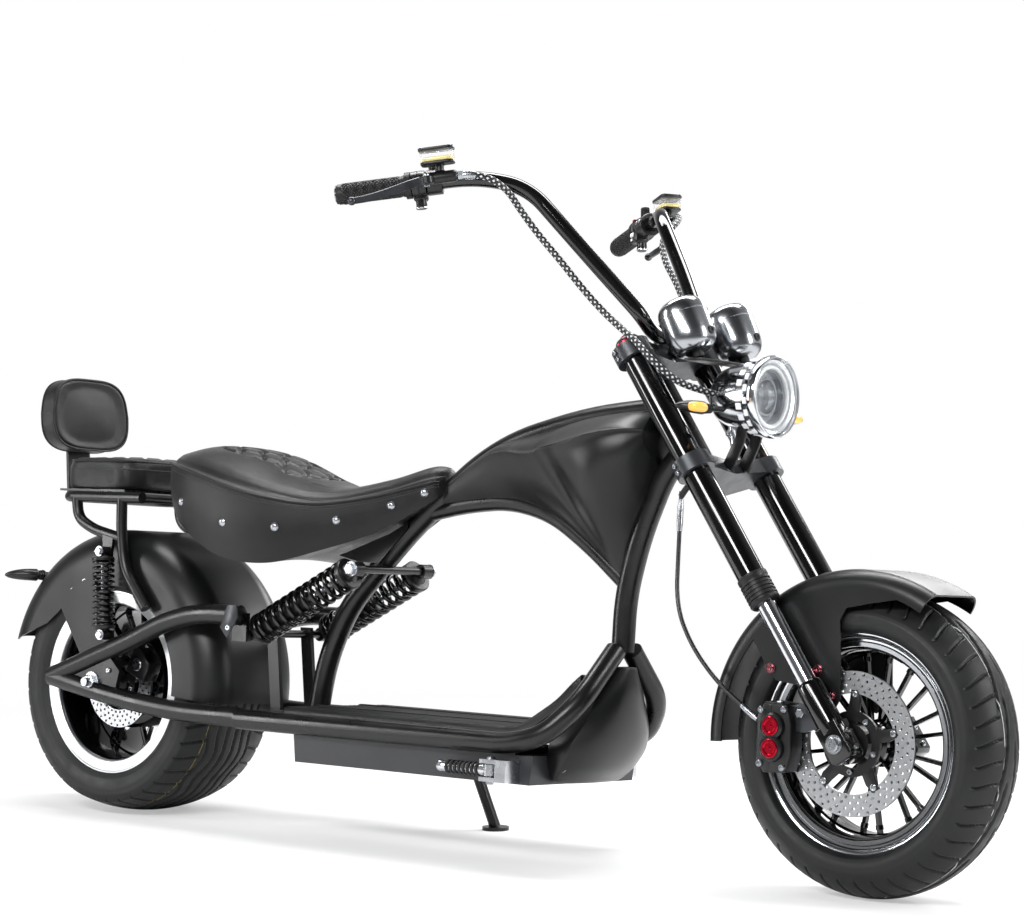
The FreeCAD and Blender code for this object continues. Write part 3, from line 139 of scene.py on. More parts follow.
def coated(name, colour, shade, rough, metal=0.0, blotch=60.0, grain=1.2, depth=0.02, spread=0.06, **shader):
    """A hard surface: colour that drifts over blotch mm, and a skin with bumps of grain mm, depth mm high."""
    material, tree = new_finish(name)
    place = add(tree, "TexCoord").outputs["Object"]
    drift = add(tree, "TexNoise", {"Vector": place, "Scale": per_metre(blotch), "Detail": 3.0}).outputs[0]
    skin = add(tree, "TexNoise", {"Vector": place, "Scale": per_metre(grain), "Detail": 2.0}).outputs[0]
    tint = add(tree, "Mix", {0: drift, 6: linear(colour), 7: linear(shade)}, data_type="RGBA").outputs[2]
    gloss = ramp(tree, drift, 0.3, 0.7, rough - spread, rough + spread)
    bump = add(tree, "Bump", {"Height": skin, "Strength": 1.0, "Distance": depth * MM}).outputs[0]
    sockets = {"Base Color": tint, "Roughness": gloss, "Metallic": metal, "Normal": bump}
    sockets.update({SHADER_SOCKETS[key]: value for key, value in shader.items()})
    close_finish(tree, sockets)
    return material


def turned_metal(name, colour, shade, rough, pitch=0.6, depth=0.01):
    """Metal finished on a lathe or a brush wheel: fine lines of pitch mm that run round with the UV."""
    material, tree = new_finish(name)
    uv = add(tree, "TexCoord").outputs["UV"]
    lines = add(tree, "Mapping", {"Vector": uv, "Scale": (per_metre(60), per_metre(pitch), 1.0)}).outputs[0]
    streak = add(tree, "TexNoise", {"Vector": lines, "Scale": 1.0, "Detail": 3.0}).outputs[0]
    tint = add(tree, "Mix", {0: streak, 6: linear(colour), 7: linear(shade)}, data_type="RGBA").outputs[2]
    gloss = ramp(tree, streak, 0.3, 0.7, rough - 0.05, rough + 0.08)
    bump = add(tree, "Bump", {"Height": streak, "Strength": 1.0, "Distance": depth * MM}).outputs[0]
    close_finish(tree, {"Base Color": tint, "Roughness": gloss, "Metallic": 1.0, "Normal": bump})
    return material


def tread_rubber(name, line_colour, line_at):
    """Vulcanised rubber, dull and slightly dusty, with a thin dyed line round the tread at line_at mm."""
    material, tree = new_finish(name)
    coords = add(tree, "TexCoord")
    place = coords.outputs["Object"]
    dust = add(tree, "TexNoise", {"Vector": place, "Scale": per_metre(28), "Detail": 4.0}).outputs[0]
    skin = add(tree, "TexNoise", {"Vector": place, "Scale": per_metre(0.9), "Detail": 2.0}).outputs[0]
    across = add(tree, "SeparateXYZ", {0: coords.outputs["UV"]}).outputs[1]
    off = add(tree, "Math", {0: across, 1: line_at * MM}, operation="SUBTRACT").outputs[0]
    off = add(tree, "Math", {0: off}, operation="ABSOLUTE").outputs[0]
    wander = add(tree, "TexNoise", {"Vector": place, "Scale": per_metre(14), "Detail": 2.0}).outputs[0]
    line = add(tree, "Math", {0: ramp(tree, off, 0.7 * MM, 0.4 * MM), 1: ramp(tree, wander, 0.42, 0.5)},
               operation="MULTIPLY").outputs[0]
    tint = add(tree, "Mix", {0: dust, 6: linear("#0B0C0D"), 7: linear("#161718")},
               data_type="RGBA").outputs[2]
    tint = add(tree, "Mix", {0: line, 6: tint, 7: linear(line_colour)}, data_type="RGBA").outputs[2]
    bump = add(tree, "Bump", {"Height": skin, "Strength": 1.0, "Distance": 0.05 * MM}).outputs[0]
    close_finish(tree, {"Base Color": tint, "Roughness": ramp(tree, dust, 0.3, 0.7, 0.42, 0.6), "Normal": bump,
                        "Specular IOR Level": 0.36})
    return material


def hide(name, colour, shade):
    """Chrome tanned leather: pebbles about 1.3 mm across, long faint creases, and a soft waxed sheen."""
    material, tree = new_finish(name)
    place = add(tree, "TexCoord").outputs["Object"]
    drift = add(tree, "TexNoise", {"Vector": place, "Scale": per_metre(45), "Detail": 4.0}).outputs[0]
    cells = add(tree, "TexVoronoi", {"Vector": place, "Scale": per_metre(1.3)},
                feature="DISTANCE_TO_EDGE").outputs[0]
    pebble = ramp(tree, cells, 0.0, 0.22)
    crease = add(tree, "TexNoise", {"Vector": place, "Scale": per_metre(9), "Detail": 6.0,
                                    "Distortion": 1.4}).outputs[0]
    fold = add(tree, "Math", {0: crease, 1: 2.4}, operation="MULTIPLY").outputs[0]
    height = add(tree, "Math", {0: pebble, 1: fold}, operation="ADD").outputs[0]
    tint = add(tree, "Mix", {0: drift, 6: linear(colour), 7: linear(shade)}, data_type="RGBA").outputs[2]
    bump = add(tree, "Bump", {"Height": height, "Strength": 0.8, "Distance": 0.10 * MM}).outputs[0]
    close_finish(tree, {"Base Color": tint, "Roughness": ramp(tree, drift, 0.3, 0.7, 0.28, 0.40), "Normal": bump,
                        "Sheen Weight": 0.05, "Sheen Roughness": 0.5, "Specular IOR Level": 0.3})
    return material


def braid(name, dark, light, pitch):
    """Braided nylon sleeve: light threads cross dark ones in a diamond pattern of pitch mm."""
    material, tree = new_finish(name)
    uv = add(tree, "TexCoord").outputs["UV"]
    split = add(tree, "SeparateXYZ", {0: uv})
    waves = []
    for sign in (1, -1):
        turn = add(tree, "Math", {0: split.outputs[0], 1: sign * per_metre(pitch), 2: 0.0},
                   operation="MULTIPLY_ADD").outputs[0]
        phase = add(tree, "Math", {0: split.outputs[1], 1: per_metre(pitch), 2: turn},
                    operation="MULTIPLY_ADD").outputs[0]
        beat = add(tree, "Math", {0: phase, 1: 1.0}, operation="PINGPONG").outputs[0]
        waves.append(ramp(tree, beat, 0.48, 0.6))
    spot = add(tree, "Math", {0: waves[0], 1: waves[1]}, operation="MULTIPLY").outputs[0]
    tint = add(tree, "Mix", {0: spot, 6: linear(dark), 7: linear(light)}, data_type="RGBA").outputs[2]
    bump = add(tree, "Bump", {"Height": spot, "Strength": 1.0, "Distance": 0.3 * MM}).outputs[0]
    close_finish(tree, {"Base Color": tint, "Roughness": 0.5, "Normal": bump})
    return material


def carbon_weave(name, tow):
    """Carbon look film: twill tows of tow mm whose two directions catch the light in turn."""
    material, tree = new_finish(name)
    place = add(tree, "TexCoord").outputs["Object"]
    split = add(tree, "SeparateXYZ", {0: place})
    across = add(tree, "Math", {0: split.outputs[1], 1: per_metre(tow)}, operation="MULTIPLY").outputs[0]
    steps = add(tree, "Math", {0: split.outputs[2], 1: per_metre(tow)}, operation="MULTIPLY").outputs[0]
    diagonal = add(tree, "Math", {0: across, 1: steps}, operation="ADD").outputs[0]
    beat = add(tree, "Math", {0: diagonal, 1: 1.0}, operation="PINGPONG").outputs[0]
    weave = ramp(tree, beat, 0.35, 0.65)
    tint = add(tree, "Mix", {0: weave, 6: linear("#101012"), 7: linear("#5A5C60")},
               data_type="RGBA").outputs[2]
    bump = add(tree, "Bump", {"Height": beat, "Strength": 0.6, "Distance": 0.2 * MM}).outputs[0]
    close_finish(tree, {"Base Color": tint, "Roughness": ramp(tree, weave, 0.0, 1.0, 0.42, 0.26), "Normal": bump,
                        "Coat Weight": 0.4, "Coat Roughness": 0.1})
    return material


finishes = {
    # Satin black powder coat on steel tube: soft highlights and a fine orange peel.
    "frame_paint": coated("powder_coated_steel", "#070708", "#0C0C0D", 0.31, grain=1.6, depth=0.010, specular=0.4),
    # Matt black lacquer on pressed sheet: a broad soft sheen, almost no grain.
    "cover_paint": coated("matt_lacquer_sheet", "#08090A", "#0D0E0F", 0.37, blotch=120, grain=0.9, depth=0.005,
                          specular=0.36),
    # Gloss black anodised aluminium: fork uppers with a sharp streak of light.
    "gloss_black": coated("black_anodised_tube", "#030304", "#060607", 0.10, blotch=90, depth=0.002, specular=0.6),
    # Hard chrome on turned steel.
    "chrome": coated("hard_chrome", "#D2D4D7", "#BFC2C6", 0.12, 1.0, blotch=80, depth=0.002, spread=0.03),
    # Sand cast aluminium under black paint: a visible pebbly skin.
    "cast_black": coated("painted_casting", "#0B0B0C", "#121214", 0.36, blotch=20, grain=0.9, depth=0.03, specular=0.4),
    # Sand cast aluminium under satin grey lacquer: fork clamps and brackets.
    "cast_grey": coated("grey_lacquered_casting", "#3C3E41", "#2D2F32", 0.34, 0.5, blotch=18, grain=0.9, depth=0.02),
    # Forged lever under dark grey anodising.
    "lever_grey": coated("dark_anodised_lever", "#3E4043", "#34363A", 0.30, 0.7, blotch=30, depth=0.006),
    # Brushed stainless steel.
    "disc_steel": turned_metal("brushed_stainless", "#C3C4C6", "#A2A4A7", 0.30, pitch=0.5),
    # Bright zinc on steel fasteners.
    "bolt_steel": coated("zinc_plated_steel", "#B4B7BB", "#93969B", 0.28, 1.0, blotch=8, depth=0.006),
    # Plain vulcanised rubber, dull and nearly black.
    "tyre_rubber": coated("tyre_rubber", "#101112", "#191A1B", 0.56, blotch=35, grain=0.8, depth=0.05, specular=0.3),
    # Moulded rubber floor mat: dull, with a fine stipple.
    "mat_rubber": coated("moulded_rubber_mat", "#0D0E0F", "#151617", 0.46, blotch=50, grain=0.7, depth=0.05,
                         specular=0.36),
    # Soft grip rubber.
    "grip_rubber": coated("grip_rubber", "#0B0B0C", "#121213", 0.50, blotch=25, grain=0.8, depth=0.05, specular=0.34),
    # Dark grey lacquer on a folded steel case.
    "battery_case": coated("grey_lacquered_case", "#26272A", "#2E2F32", 0.36, blotch=90, grain=1.0, depth=0.01,
                           specular=0.4),
    # Black tanned hide of the pads: pebbled, with a waxed sheen.
    "leather": hide("black_leather", "#080809", "#0F0F10"),
    # Gloss black powder coat on coiled spring wire.
    "spring_black": coated("powder_coated_spring", "#060607", "#0B0B0C", 0.16, blotch=30, depth=0.006),
    # Tumbled cast aluminium, bright with soft edges.
    "peg_alloy": coated("tumbled_aluminium", "#C9CBCE", "#AFB1B5", 0.24, 1.0, blotch=20, depth=0.01),
    # Moulded glass filled nylon.
    "switch_plastic": coated("moulded_nylon", "#0A0A0B", "#111112", 0.34, blotch=25, grain=0.8, depth=0.02,
                             specular=0.4),
    # Clear moulded polycarbonate cup.
    "reservoir_plastic": coated("clear_polycarbonate", "#F4F5F6", "#E9ECEE", 0.06, spread=0.02, depth=0.002,
                                transmission=0.95, ior=1.3, alpha=0.25),
    # Clear hard coated lamp polycarbonate.
    "lamp_lens": coated("lamp_polycarbonate", "#F6F8F9", "#EDF0F2", 0.04, spread=0.02, depth=0.002,
                        transmission=0.97, ior=1.3, alpha=0.14),
    # Dyed indicator lenses, lit from behind.
    "amber_lens": coated("amber_polycarbonate", "#FFC067", "#F0A030", 0.14, depth=0.004, glow=0.3,
                         glow_colour=linear("#FFB04A")),
    "red_lens": coated("red_polycarbonate", "#8E1013", "#6E0B0E", 0.14, depth=0.004, transmission=0.3),
    # Extruded hose jacket.
    "hose_rubber": coated("extruded_hose_jacket", "#0B0B0C", "#121213", 0.38, blotch=20, depth=0.01),
    # Lips of the wheels, spun and polished.
    "polished_lip": turned_metal("polished_aluminium_lip", "#DADCDF", "#C4C7CB", 0.14, pitch=0.9, depth=0.004),
    # Clear anodised bead of the motor wheel: pale and satin, close to white under a soft lamp.
    "satin_lip": turned_metal("satin_aluminium_lip", "#E6E8EA", "#D6D8DB", 0.42, pitch=0.7, depth=0.004),
    # Red anodised caps, and screws of tinted steel.
    "red_anodised": coated("red_anodised_aluminium", "#C4122F", "#9C0C22", 0.22, 0.85, blotch=6, depth=0.01),
    "pink_screw": coated("red_tinted_steel_screw", "#B98088", "#8F5860", 0.24, 1.0, blotch=5, depth=0.01),
    # Treads, each with its dyed line.
    "front_rubber": tread_rubber("front_tyre_rubber", "#B9BBBC", -20.0),
    "rear_rubber": tread_rubber("rear_tyre_rubber", "#8C7F33", -62.0),
    # Braided sleeve, black with pale flecks, and carbon look film: both weaves drawn coarse enough to show.
    "sleeve_braid": braid("braided_nylon_sleeve", "#0E0E0F", "#C4C6C9", 5.2),
    "carbon_film": carbon_weave("carbon_look_film", 3.0),
    # Bonded polyester thread in the seams.
    "thread": coated("bonded_polyester_thread", "#2E2F31", "#3C3D40", 0.55, blotch=6, grain=0.5, depth=0.05),
    # Brake fluid behind clear plastic.
    "fluid": coated("brake_fluid", "#D9CC8E", "#C9B974", 0.20, depth=0.001),
    # Aluminised reflector bowl, with a faint painted glow: painted light that brightens the bowl as a painted
    # reflection would.
    "reflector": coated("vacuum_metallised_bowl", "#E9EBED", "#C4C7CA", 0.22, 0.8, blotch=14, depth=0.003, glow=0.12,
                        glow_colour=linear("#F4F6FA")),
    # White light pipe ring round the projector.
    "light_pipe": coated("diffusing_light_pipe", "#EDEFF0", "#DEE1E3", 0.35, depth=0.002),
    # Smoked chrome plate on the gauge cups: darker than hard chrome, still sharp.
    "smoked_chrome": coated("smoked_chrome_plate", "#A8AAAE", "#96999D", 0.20, 1.0, blotch=60, depth=0.002,
                             spread=0.02),
    # Gauge face, dark behind glass.
    "dial_face": coated("printed_dial_behind_glass", "#0E0F11", "#16181B", 0.08, depth=0.001, coat=1.0),
}

for entry in frame["record"]["subparts"]:
    held = frame["nodes"][entry["node"]]
    held.data.materials.clear()
    held.data.materials.append(finishes[entry["material_slot"]])


# Shapes: a part is its points, its faces and, for each face, its UV corners in metres or None

def part(points, faces, corners=None):
    return [Vector(p) for p in points], [tuple(f) for f in faces], corners


def mirrored(shape):
    """The same part on the other side of the machine."""
    points, faces, corners = shape
    flipped = [tuple(reversed(f)) for f in faces]
    turned = [tuple(reversed(c)) for c in corners] if corners else None
    return [Vector((p.x, -p.y, p.z)) for p in points], flipped, turned


def both(shapes):
    return list(shapes) + [mirrored(s) for s in shapes]


def moved(shape, matrix):
    return [matrix @ p for p in shape[0]], shape[1], shape[2]


def spun(shape, axle, turn):
    """The part turned about a wheel's axle by an angle in degrees."""
    about = Matrix.Translation(axle) @ Matrix.Rotation(math.radians(turn), 4, "Y") @ Matrix.Translation(-axle)
    return moved(shape, about)


def basis(at, along, across=None):
    """Matrix that carries local Z onto along, and local X near across, with its origin at a point."""
    up = Vector(along).normalized()
    side = Vector(across) if across is not None else (X if abs(up.x) < 0.9 else Y)
    side = (side - up * side.dot(up)).normalized()
    other = up.cross(side)
    return Matrix.Translation(Vector(at)) @ Matrix((side, other, up)).transposed().to_4x4()


def strip_faces(rows, columns, wrap_rows, wrap_columns):
    """Quads over a grid of points held row by row."""
    faces = []
    for i in range(rows if wrap_rows else rows - 1):
        for j in range(columns if wrap_columns else columns - 1):
            k, n = (i + 1) % rows, (j + 1) % columns
            faces.append((i * columns + j, i * columns + n, k * columns + n, k * columns + j))
    return faces


def strip_corners(lengths_u, lengths_v):
    """UV corners in metres that match strip_faces."""
    corners = []
    for u0, u1 in zip(lengths_u, lengths_u[1:]):
        for v0, v1 in zip(lengths_v, lengths_v[1:]):
            corners.append(((u0 * MM, v0 * MM), (u0 * MM, v1 * MM), (u1 * MM, v1 * MM), (u1 * MM, v0 * MM)))
    return corners


def run_lengths(points, closed=False):
    """Distance along a run of points, one more entry if the run closes."""
    lengths = [0.0]
    ring = list(points) + ([points[0]] if closed else [])
    for a, b in zip(ring, ring[1:]):
        lengths.append(lengths[-1] + (Vector(b) - Vector(a)).length)
    return lengths


def lathe(profile, base, axis, steps=48, closed=False, sides=None):
    """(along, radius) points turned about an axis. sides gives the corners of the points that aren't round."""
    place = basis(base, axis)
    points = []
    for i in range(steps):
        angle = 2 * math.pi * i / steps
        for j, (along, radius) in enumerate(profile):
            if sides and j in sides:
                wedge = math.pi / sides[j]
                radius *= math.cos(wedge) / math.cos(angle % (2 * wedge) - wedge)
            points.append(place @ Vector((radius * math.cos(angle), radius * math.sin(angle), along)))
    reach = max(r for _, r in profile)
    around = [2 * math.pi * reach * i / steps for i in range(steps + 1)]
    along = run_lengths([(0, r, h) for h, r in profile], closed)
    faces = [tuple(reversed(f)) for f in strip_faces(steps, len(profile), True, closed)]
    corners = [tuple(reversed(c)) for c in strip_corners(around, along)]
    return part(points, faces, corners)


def wheel_ring(profile, axle, steps=120, closed=True):
    """Ring about a wheel's axle from (y, radius) points."""
    return lathe(profile, axle, Y, steps, closed)


def spline(a, b, c, d, t):
    """Catmull-Rom value between b and c, of points or of numbers."""
    return 0.5 * (2 * b + (c - a) * t + (2 * a - 5 * b + 4 * c - d) * t * t + (3 * b - a - 3 * c + d) * t ** 3)


def resample(points, counts):
    """Smooth curve through the points with a given number of steps in each span."""
    ring = [Vector(p) for p in points]
    ring = [ring[0] * 2 - ring[1]] + ring + [ring[-1] * 2 - ring[-2]]
    run = []
    for k, count in enumerate(counts):
        run += [spline(*ring[k:k + 4], n / count) for n in range(count)]
    return run + [ring[-2]]


def smooth_run(points, step):
    """Smooth curve through the points, in steps of about that length."""
    spans = [(Vector(b) - Vector(a)).length for a, b in zip(points, points[1:])]
    return resample(points, [max(1, round(span / step)) for span in spans])


def ring_section(radius, sides):
    return [(radius * math.cos(2 * math.pi * k / sides), radius * math.sin(2 * math.pi * k / sides))
            for k in range(sides)]


def sweep(run, section, closed=False, across=None, taper=None):
    """A closed section carried along a run of points without twisting. taper gives the size at each point."""
    count = len(run)
    tangents = []
    for i in range(count):
        before = run[i - 1] if i > 0 or closed else run[i]
        after = run[(i + 1) % count] if i < count - 1 or closed else run[i]
        tangents.append((after - before).normalized())
    side = Vector(across) if across is not None else (Z if abs(tangents[0].z) < 0.9 else X)
    points = []
    for i, tangent in enumerate(tangents):
        side = (side - tangent * side.dot(tangent)).normalized()
        other = tangent.cross(side)
        size = taper(i / max(1, count - 1)) if taper else 1.0
        points += [run[i] + (side * a + other * b) * size for a, b in section]
    n = len(section)
    faces = strip_faces(count, n, closed, True)
    girth = run_lengths([(0, a, b) for a, b in section], True)
    corners = strip_corners(run_lengths(run, closed), girth)
    corners = [tuple((v, u) for u, v in c) for c in corners]
    if not closed:
        faces += [tuple(range(n)), tuple(range(count * n - 1, (count - 1) * n - 1, -1))]
        corners += [((0.0, 0.0),) * n] * 2
    return part(points, [tuple(reversed(f)) for f in faces], [tuple(reversed(c)) for c in corners])


def tube(points, radius, step=6.0, sides=20):
    return sweep(smooth_run(points, step), ring_section(radius, sides))


def bevelled(build, width, segments, angle=30.0):
    """A bmesh with its sharp edges rounded, as a part."""
    sharp = [e for e in build.edges if len(e.link_faces) == 2 and e.calc_face_angle() > math.radians(angle)]
    if width > 0:
        bmesh.ops.bevel(build, geom=sharp, offset=width, segments=segments, profile=0.5, affect="EDGES",
                        clamp_overlap=True)
    build.verts.index_update()
    points = [v.co.copy() for v in build.verts]
    faces = [tuple(v.index for v in f.verts) for f in build.faces]
    build.free()
    return part(points, faces)


def block(size, place, width=1.5, segments=2):
    """Rounded block about the origin of a placing matrix."""
    build = bmesh.new()
    bmesh.ops.create_cube(build, size=1.0)
    for v in build.verts:
        v.co = Vector(v.co[k] * size[k] for k in range(3))
    return moved(bevelled(build, width, segments), place)


def slab(outline, thickness, place, width=1.0, segments=2):
    """Plate from a flat (x, y) outline in a placing matrix's own plane, centred on that plane."""
    build = bmesh.new()
    face = build.faces.new([build.verts.new((x, y, -thickness / 2)) for x, y in outline])
    lifted = bmesh.ops.extrude_face_region(build, geom=[face])["geom"]
    bmesh.ops.translate(build, vec=(0, 0, thickness), verts=[v for v in lifted if isinstance(v, bmesh.types.BMVert)])
    bmesh.ops.recalc_face_normals(build, faces=build.faces)
    return moved(bevelled(build, width, segments, 25.0), place)


def standing(y=0.0):
    """Placing matrix whose own (x, y) plane is the machine's (x, z) plane at a distance to the left."""
    return Matrix.Translation((0, y, 0)) @ Matrix.Rotation(math.radians(90), 4, "X")


def cap_screw(at, axis, radius, height, washer=0.0):
    """Socket head screw with a chamfered head, a hexagon socket and, if asked, a washer below."""
    profile = [(0, 0.0)]
    if washer:
        profile += [(0, washer), (radius * 0.22, washer), (radius * 0.22, radius)]
    else:
        profile += [(0, radius)]
    profile += [(height * 0.82, radius), (height, radius * 0.84)]
    inner = len(profile)
    profile += [(height, radius * 0.55), (height * 0.35, radius * 0.55), (height * 0.35, 0)]
    return lathe(profile, at, axis, 24, sides={inner: 6, inner + 1: 6})


def dome_rivet(at, axis, radius):
    """Domed nail head with a rolled rim."""
    profile = [(0, 0), (0, radius), (radius * 0.18, radius * 1.02), (radius * 0.3, radius * 0.9)]
    profile += [(radius * (0.3 + 0.32 * math.sin(a)), radius * 0.82 * math.cos(a))
                for a in (math.radians(d) for d in (10, 30, 50, 70, 90))]
    return lathe(profile, at, axis, 20)


def hex_nut(at, axis, radius, height):
    """Nut or bolt head with six flats and a chamfer."""
    profile = [(0, 0), (0, radius), (height * 0.85, radius), (height, radius * 0.86), (height, 0)]
    return lathe(profile, at, axis, 24, sides={1: 6, 2: 6, 3: 6})


def linked(name, data):
    """A new object, linked into the scene."""
    made = bpy.data.objects.new(name, data)
    bpy.context.scene.collection.objects.link(made)
    return made


def piece(name, parts, finish, body, sharp=32.0, replaces=(), weld=0.002):
    """Join parts into one object in a named finish, leaned into the frame, that rides on a CAD body."""
    points, faces, corners = [], [], []
    for shape in parts:
        start = len(points)
        points += [UPRIGHT @ p for p in shape[0]]
        faces += [tuple(i + start for i in f) for f in shape[1]]
        corners += shape[2] or [((0.0, 0.0),) * len(f) for f in shape[1]]
    mesh = bpy.data.meshes.new(name)
    mesh.from_pydata(points, [], faces)
    layer = mesh.uv_layers.new(name="run")
    layer.data.foreach_set("uv", np.array([c for face in corners for c in face], "f").ravel())
    build = bmesh.new()
    build.from_mesh(mesh)
    if weld:
        bmesh.ops.remove_doubles(build, verts=build.verts, dist=weld * MM)
    dead = [f for f in build.faces if f.calc_area() < 1e-12]
    bmesh.ops.delete(build, geom=dead, context="FACES_ONLY")
    bmesh.ops.recalc_face_normals(build, faces=build.faces)
    for edge in build.edges:
        edge.smooth = len(edge.link_faces) == 2 and edge.calc_face_angle() < math.radians(sharp)
    for face in build.faces:
        face.smooth = True
    build.to_mesh(mesh)
    build.free()
    mesh.materials.append(finishes[finish])
    made = linked(name, mesh)
    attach(made, body)
    if replaces:
        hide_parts(*replaces)
    return made


# Wheels

def notch(gap, half, edge=0.9):
    """1 inside a groove of that half width, 0 outside, with sloping walls."""
    t = np.clip((half + edge - gap) / (2 * edge), 0, 1)
    return t * t * (3 - 2 * t)


def between(value, low, high, fade=4.0):
    """1 between two values, fading to 0 at the ends."""
    return np.clip((value - low) / fade, 0, 1) * np.clip((high - value) / fade, 0, 1)


def front_tread(turn, across):
    """Depth of the front tread's cuts: shoulder slots, and long sickles beside the middle."""
    side = np.abs(across)
    shift = np.where(across > 0, 0.5, 0.0)
    slot = (turn * 44 + shift) % 1.0
    bow = 0.30 + 0.42 * np.clip((side - 16) / 46, 0, 1) ** 1.6
    cut = notch(np.abs(slot - bow) * 33.7, 1.5) * between(side, 22, 70) * 5.5
    for step in (0, 1):
        phase = (turn * 11 + shift * 0.9) % 1.0 + step
        lane = 7 + 19 * np.clip(phase / 1.35, 0, 1) ** 1.5
        sickle = notch(np.abs(side - lane), 2.0) * between(phase, 0.04, 1.32, 0.12) * 5.6
        cut = np.maximum(cut, sickle)
    return cut


def rear_tread(turn, across):
    """Depth of the rear tread's cuts: six winding grooves, and slots in the shoulders."""
    side = np.abs(across)
    shift = np.where(across > 0, 0.5, 0.0)
    cut = np.zeros_like(across)
    for lane, swing in ((11, 3.0), (31, 5.0), (52, 5.0)):
        middle = lane + swing * np.sin((turn * 14 + shift) * 2 * math.pi)
        cut = np.maximum(cut, notch(np.abs(side - middle), 2.8) * 6.0)
    slot = (turn * 42 + shift) % 1.0
    bow = 0.25 + 0.45 * np.clip((side - 56) / 50, 0, 1)
    return np.maximum(cut, notch(np.abs(slot - bow) * 35.6, 1.8) * between(side, 58, 112) * 6.0)


def bulge(start, middle, end, count):
    """Points on the circle through three (y, radius) points, from start to end."""
    (ax, ay), (bx, by), (cx, cy) = start, middle, end
    d = 2 * (ax * (by - cy) + bx * (cy - ay) + cx * (ay - by))
    ux = ((ax * ax + ay * ay) * (by - cy) + (bx * bx + by * by) * (cy - ay) + (cx * cx + cy * cy) * (ay - by)) / d
    uy = ((ax * ax + ay * ay) * (cx - bx) + (bx * bx + by * by) * (ax - cx) + (cx * cx + cy * cy) * (bx - ax)) / d
    size = math.hypot(ax - ux, ay - uy)
    first, last = math.atan2(ay - uy, ax - ux), math.atan2(cy - uy, cx - ux)
    return [(ux + size * math.cos(first + (last - first) * k / count),
             uy + size * math.sin(first + (last - first) * k / count)) for k in range(1, count + 1)]


def tyre(name, axle, radius, width, crown_radius, rim_width, tread, steps, finish, body, node):
    """Tyre whose tread is cut into the mesh, with moulded rings on its sidewalls."""
    edge = min(width / 2 - 6, 0.85 * crown_radius)
    tilt = math.asin(edge / crown_radius)
    count = round(2 * tilt * crown_radius / 2.0)
    phi = np.linspace(-tilt, tilt, count)
    crown = np.stack([crown_radius * np.sin(phi), radius - crown_radius * (1 - np.cos(phi))], 1)
    out = np.stack([np.sin(phi), np.cos(phi)], 1)
    shoulder = crown[-1, 1]
    wall = bulge((edge, shoulder), (width / 2, (shoulder + BEAD) / 2), (rim_width / 2, BEAD), 16)
    ridges = {3: 0.7, 4: -0.5, 11: 0.8, 12: -0.2}
    wall = [(y + ridges.get(k, 0), r) for k, (y, r) in enumerate(wall)]
    wall += [(rim_width / 2 - 4, 158.0)]
    line = np.array(list(crown) + wall + [(-y, r) for y, r in reversed(wall)])
    across = np.concatenate([[0], np.cumsum(np.linalg.norm(np.diff(line, axis=0), axis=1))])
    across = np.append(across, across[-1] + np.linalg.norm(line[0] - line[-1])) - tilt * crown_radius
    turn = np.arange(steps) / steps
    rings = np.repeat(line[None], steps, 0)
    cuts = tread(*np.meshgrid(turn, phi * crown_radius, indexing="ij"))
    rings[:, :count] -= cuts[..., None] * out[None]
    angle = turn[:, None] * 2 * math.pi
    points = np.stack([axle.x + rings[..., 1] * np.sin(angle), rings[..., 0],
                       axle.z + rings[..., 1] * np.cos(angle), np.ones_like(rings[..., 0])], -1)
    places = (points.reshape(-1, 4) @ np.array(UPRIGHT).T)[:, :3]
    rows, columns = steps, line.shape[0]
    i, j = np.meshgrid(np.arange(rows), np.arange(columns), indexing="ij")
    k, n = (i + 1) % rows, (j + 1) % columns
    quads = np.stack([i * columns + j, k * columns + j, k * columns + n, i * columns + n], -1).reshape(-1, 4)
    around = np.arange(rows + 1) / rows * 2 * math.pi * radius * MM
    lanes = across * MM
    uv = np.stack([np.stack([around[i], lanes[j]], -1), np.stack([around[i + 1], lanes[j]], -1),
                   np.stack([around[i + 1], lanes[j + 1]], -1), np.stack([around[i], lanes[j + 1]], -1)], 2)
    mesh = bpy.data.meshes.new(name)
    mesh.vertices.add(len(places))
    mesh.vertices.foreach_set("co", places.ravel())
    mesh.loops.add(quads.size)
    mesh.loops.foreach_set("vertex_index", quads.ravel())
    mesh.polygons.add(len(quads))
    mesh.polygons.foreach_set("loop_start", np.arange(0, quads.size, 4))
    mesh.uv_layers.new(name="run").data.foreach_set("uv", uv.reshape(-1, 4, 2).ravel())
    mesh.polygons.foreach_set("use_smooth", np.ones(len(quads), bool))
    mesh.update()
    mesh.validate()
    mesh.materials.append(finishes[finish])
    made = linked(name, mesh)
    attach(made, body)
    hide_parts(node)


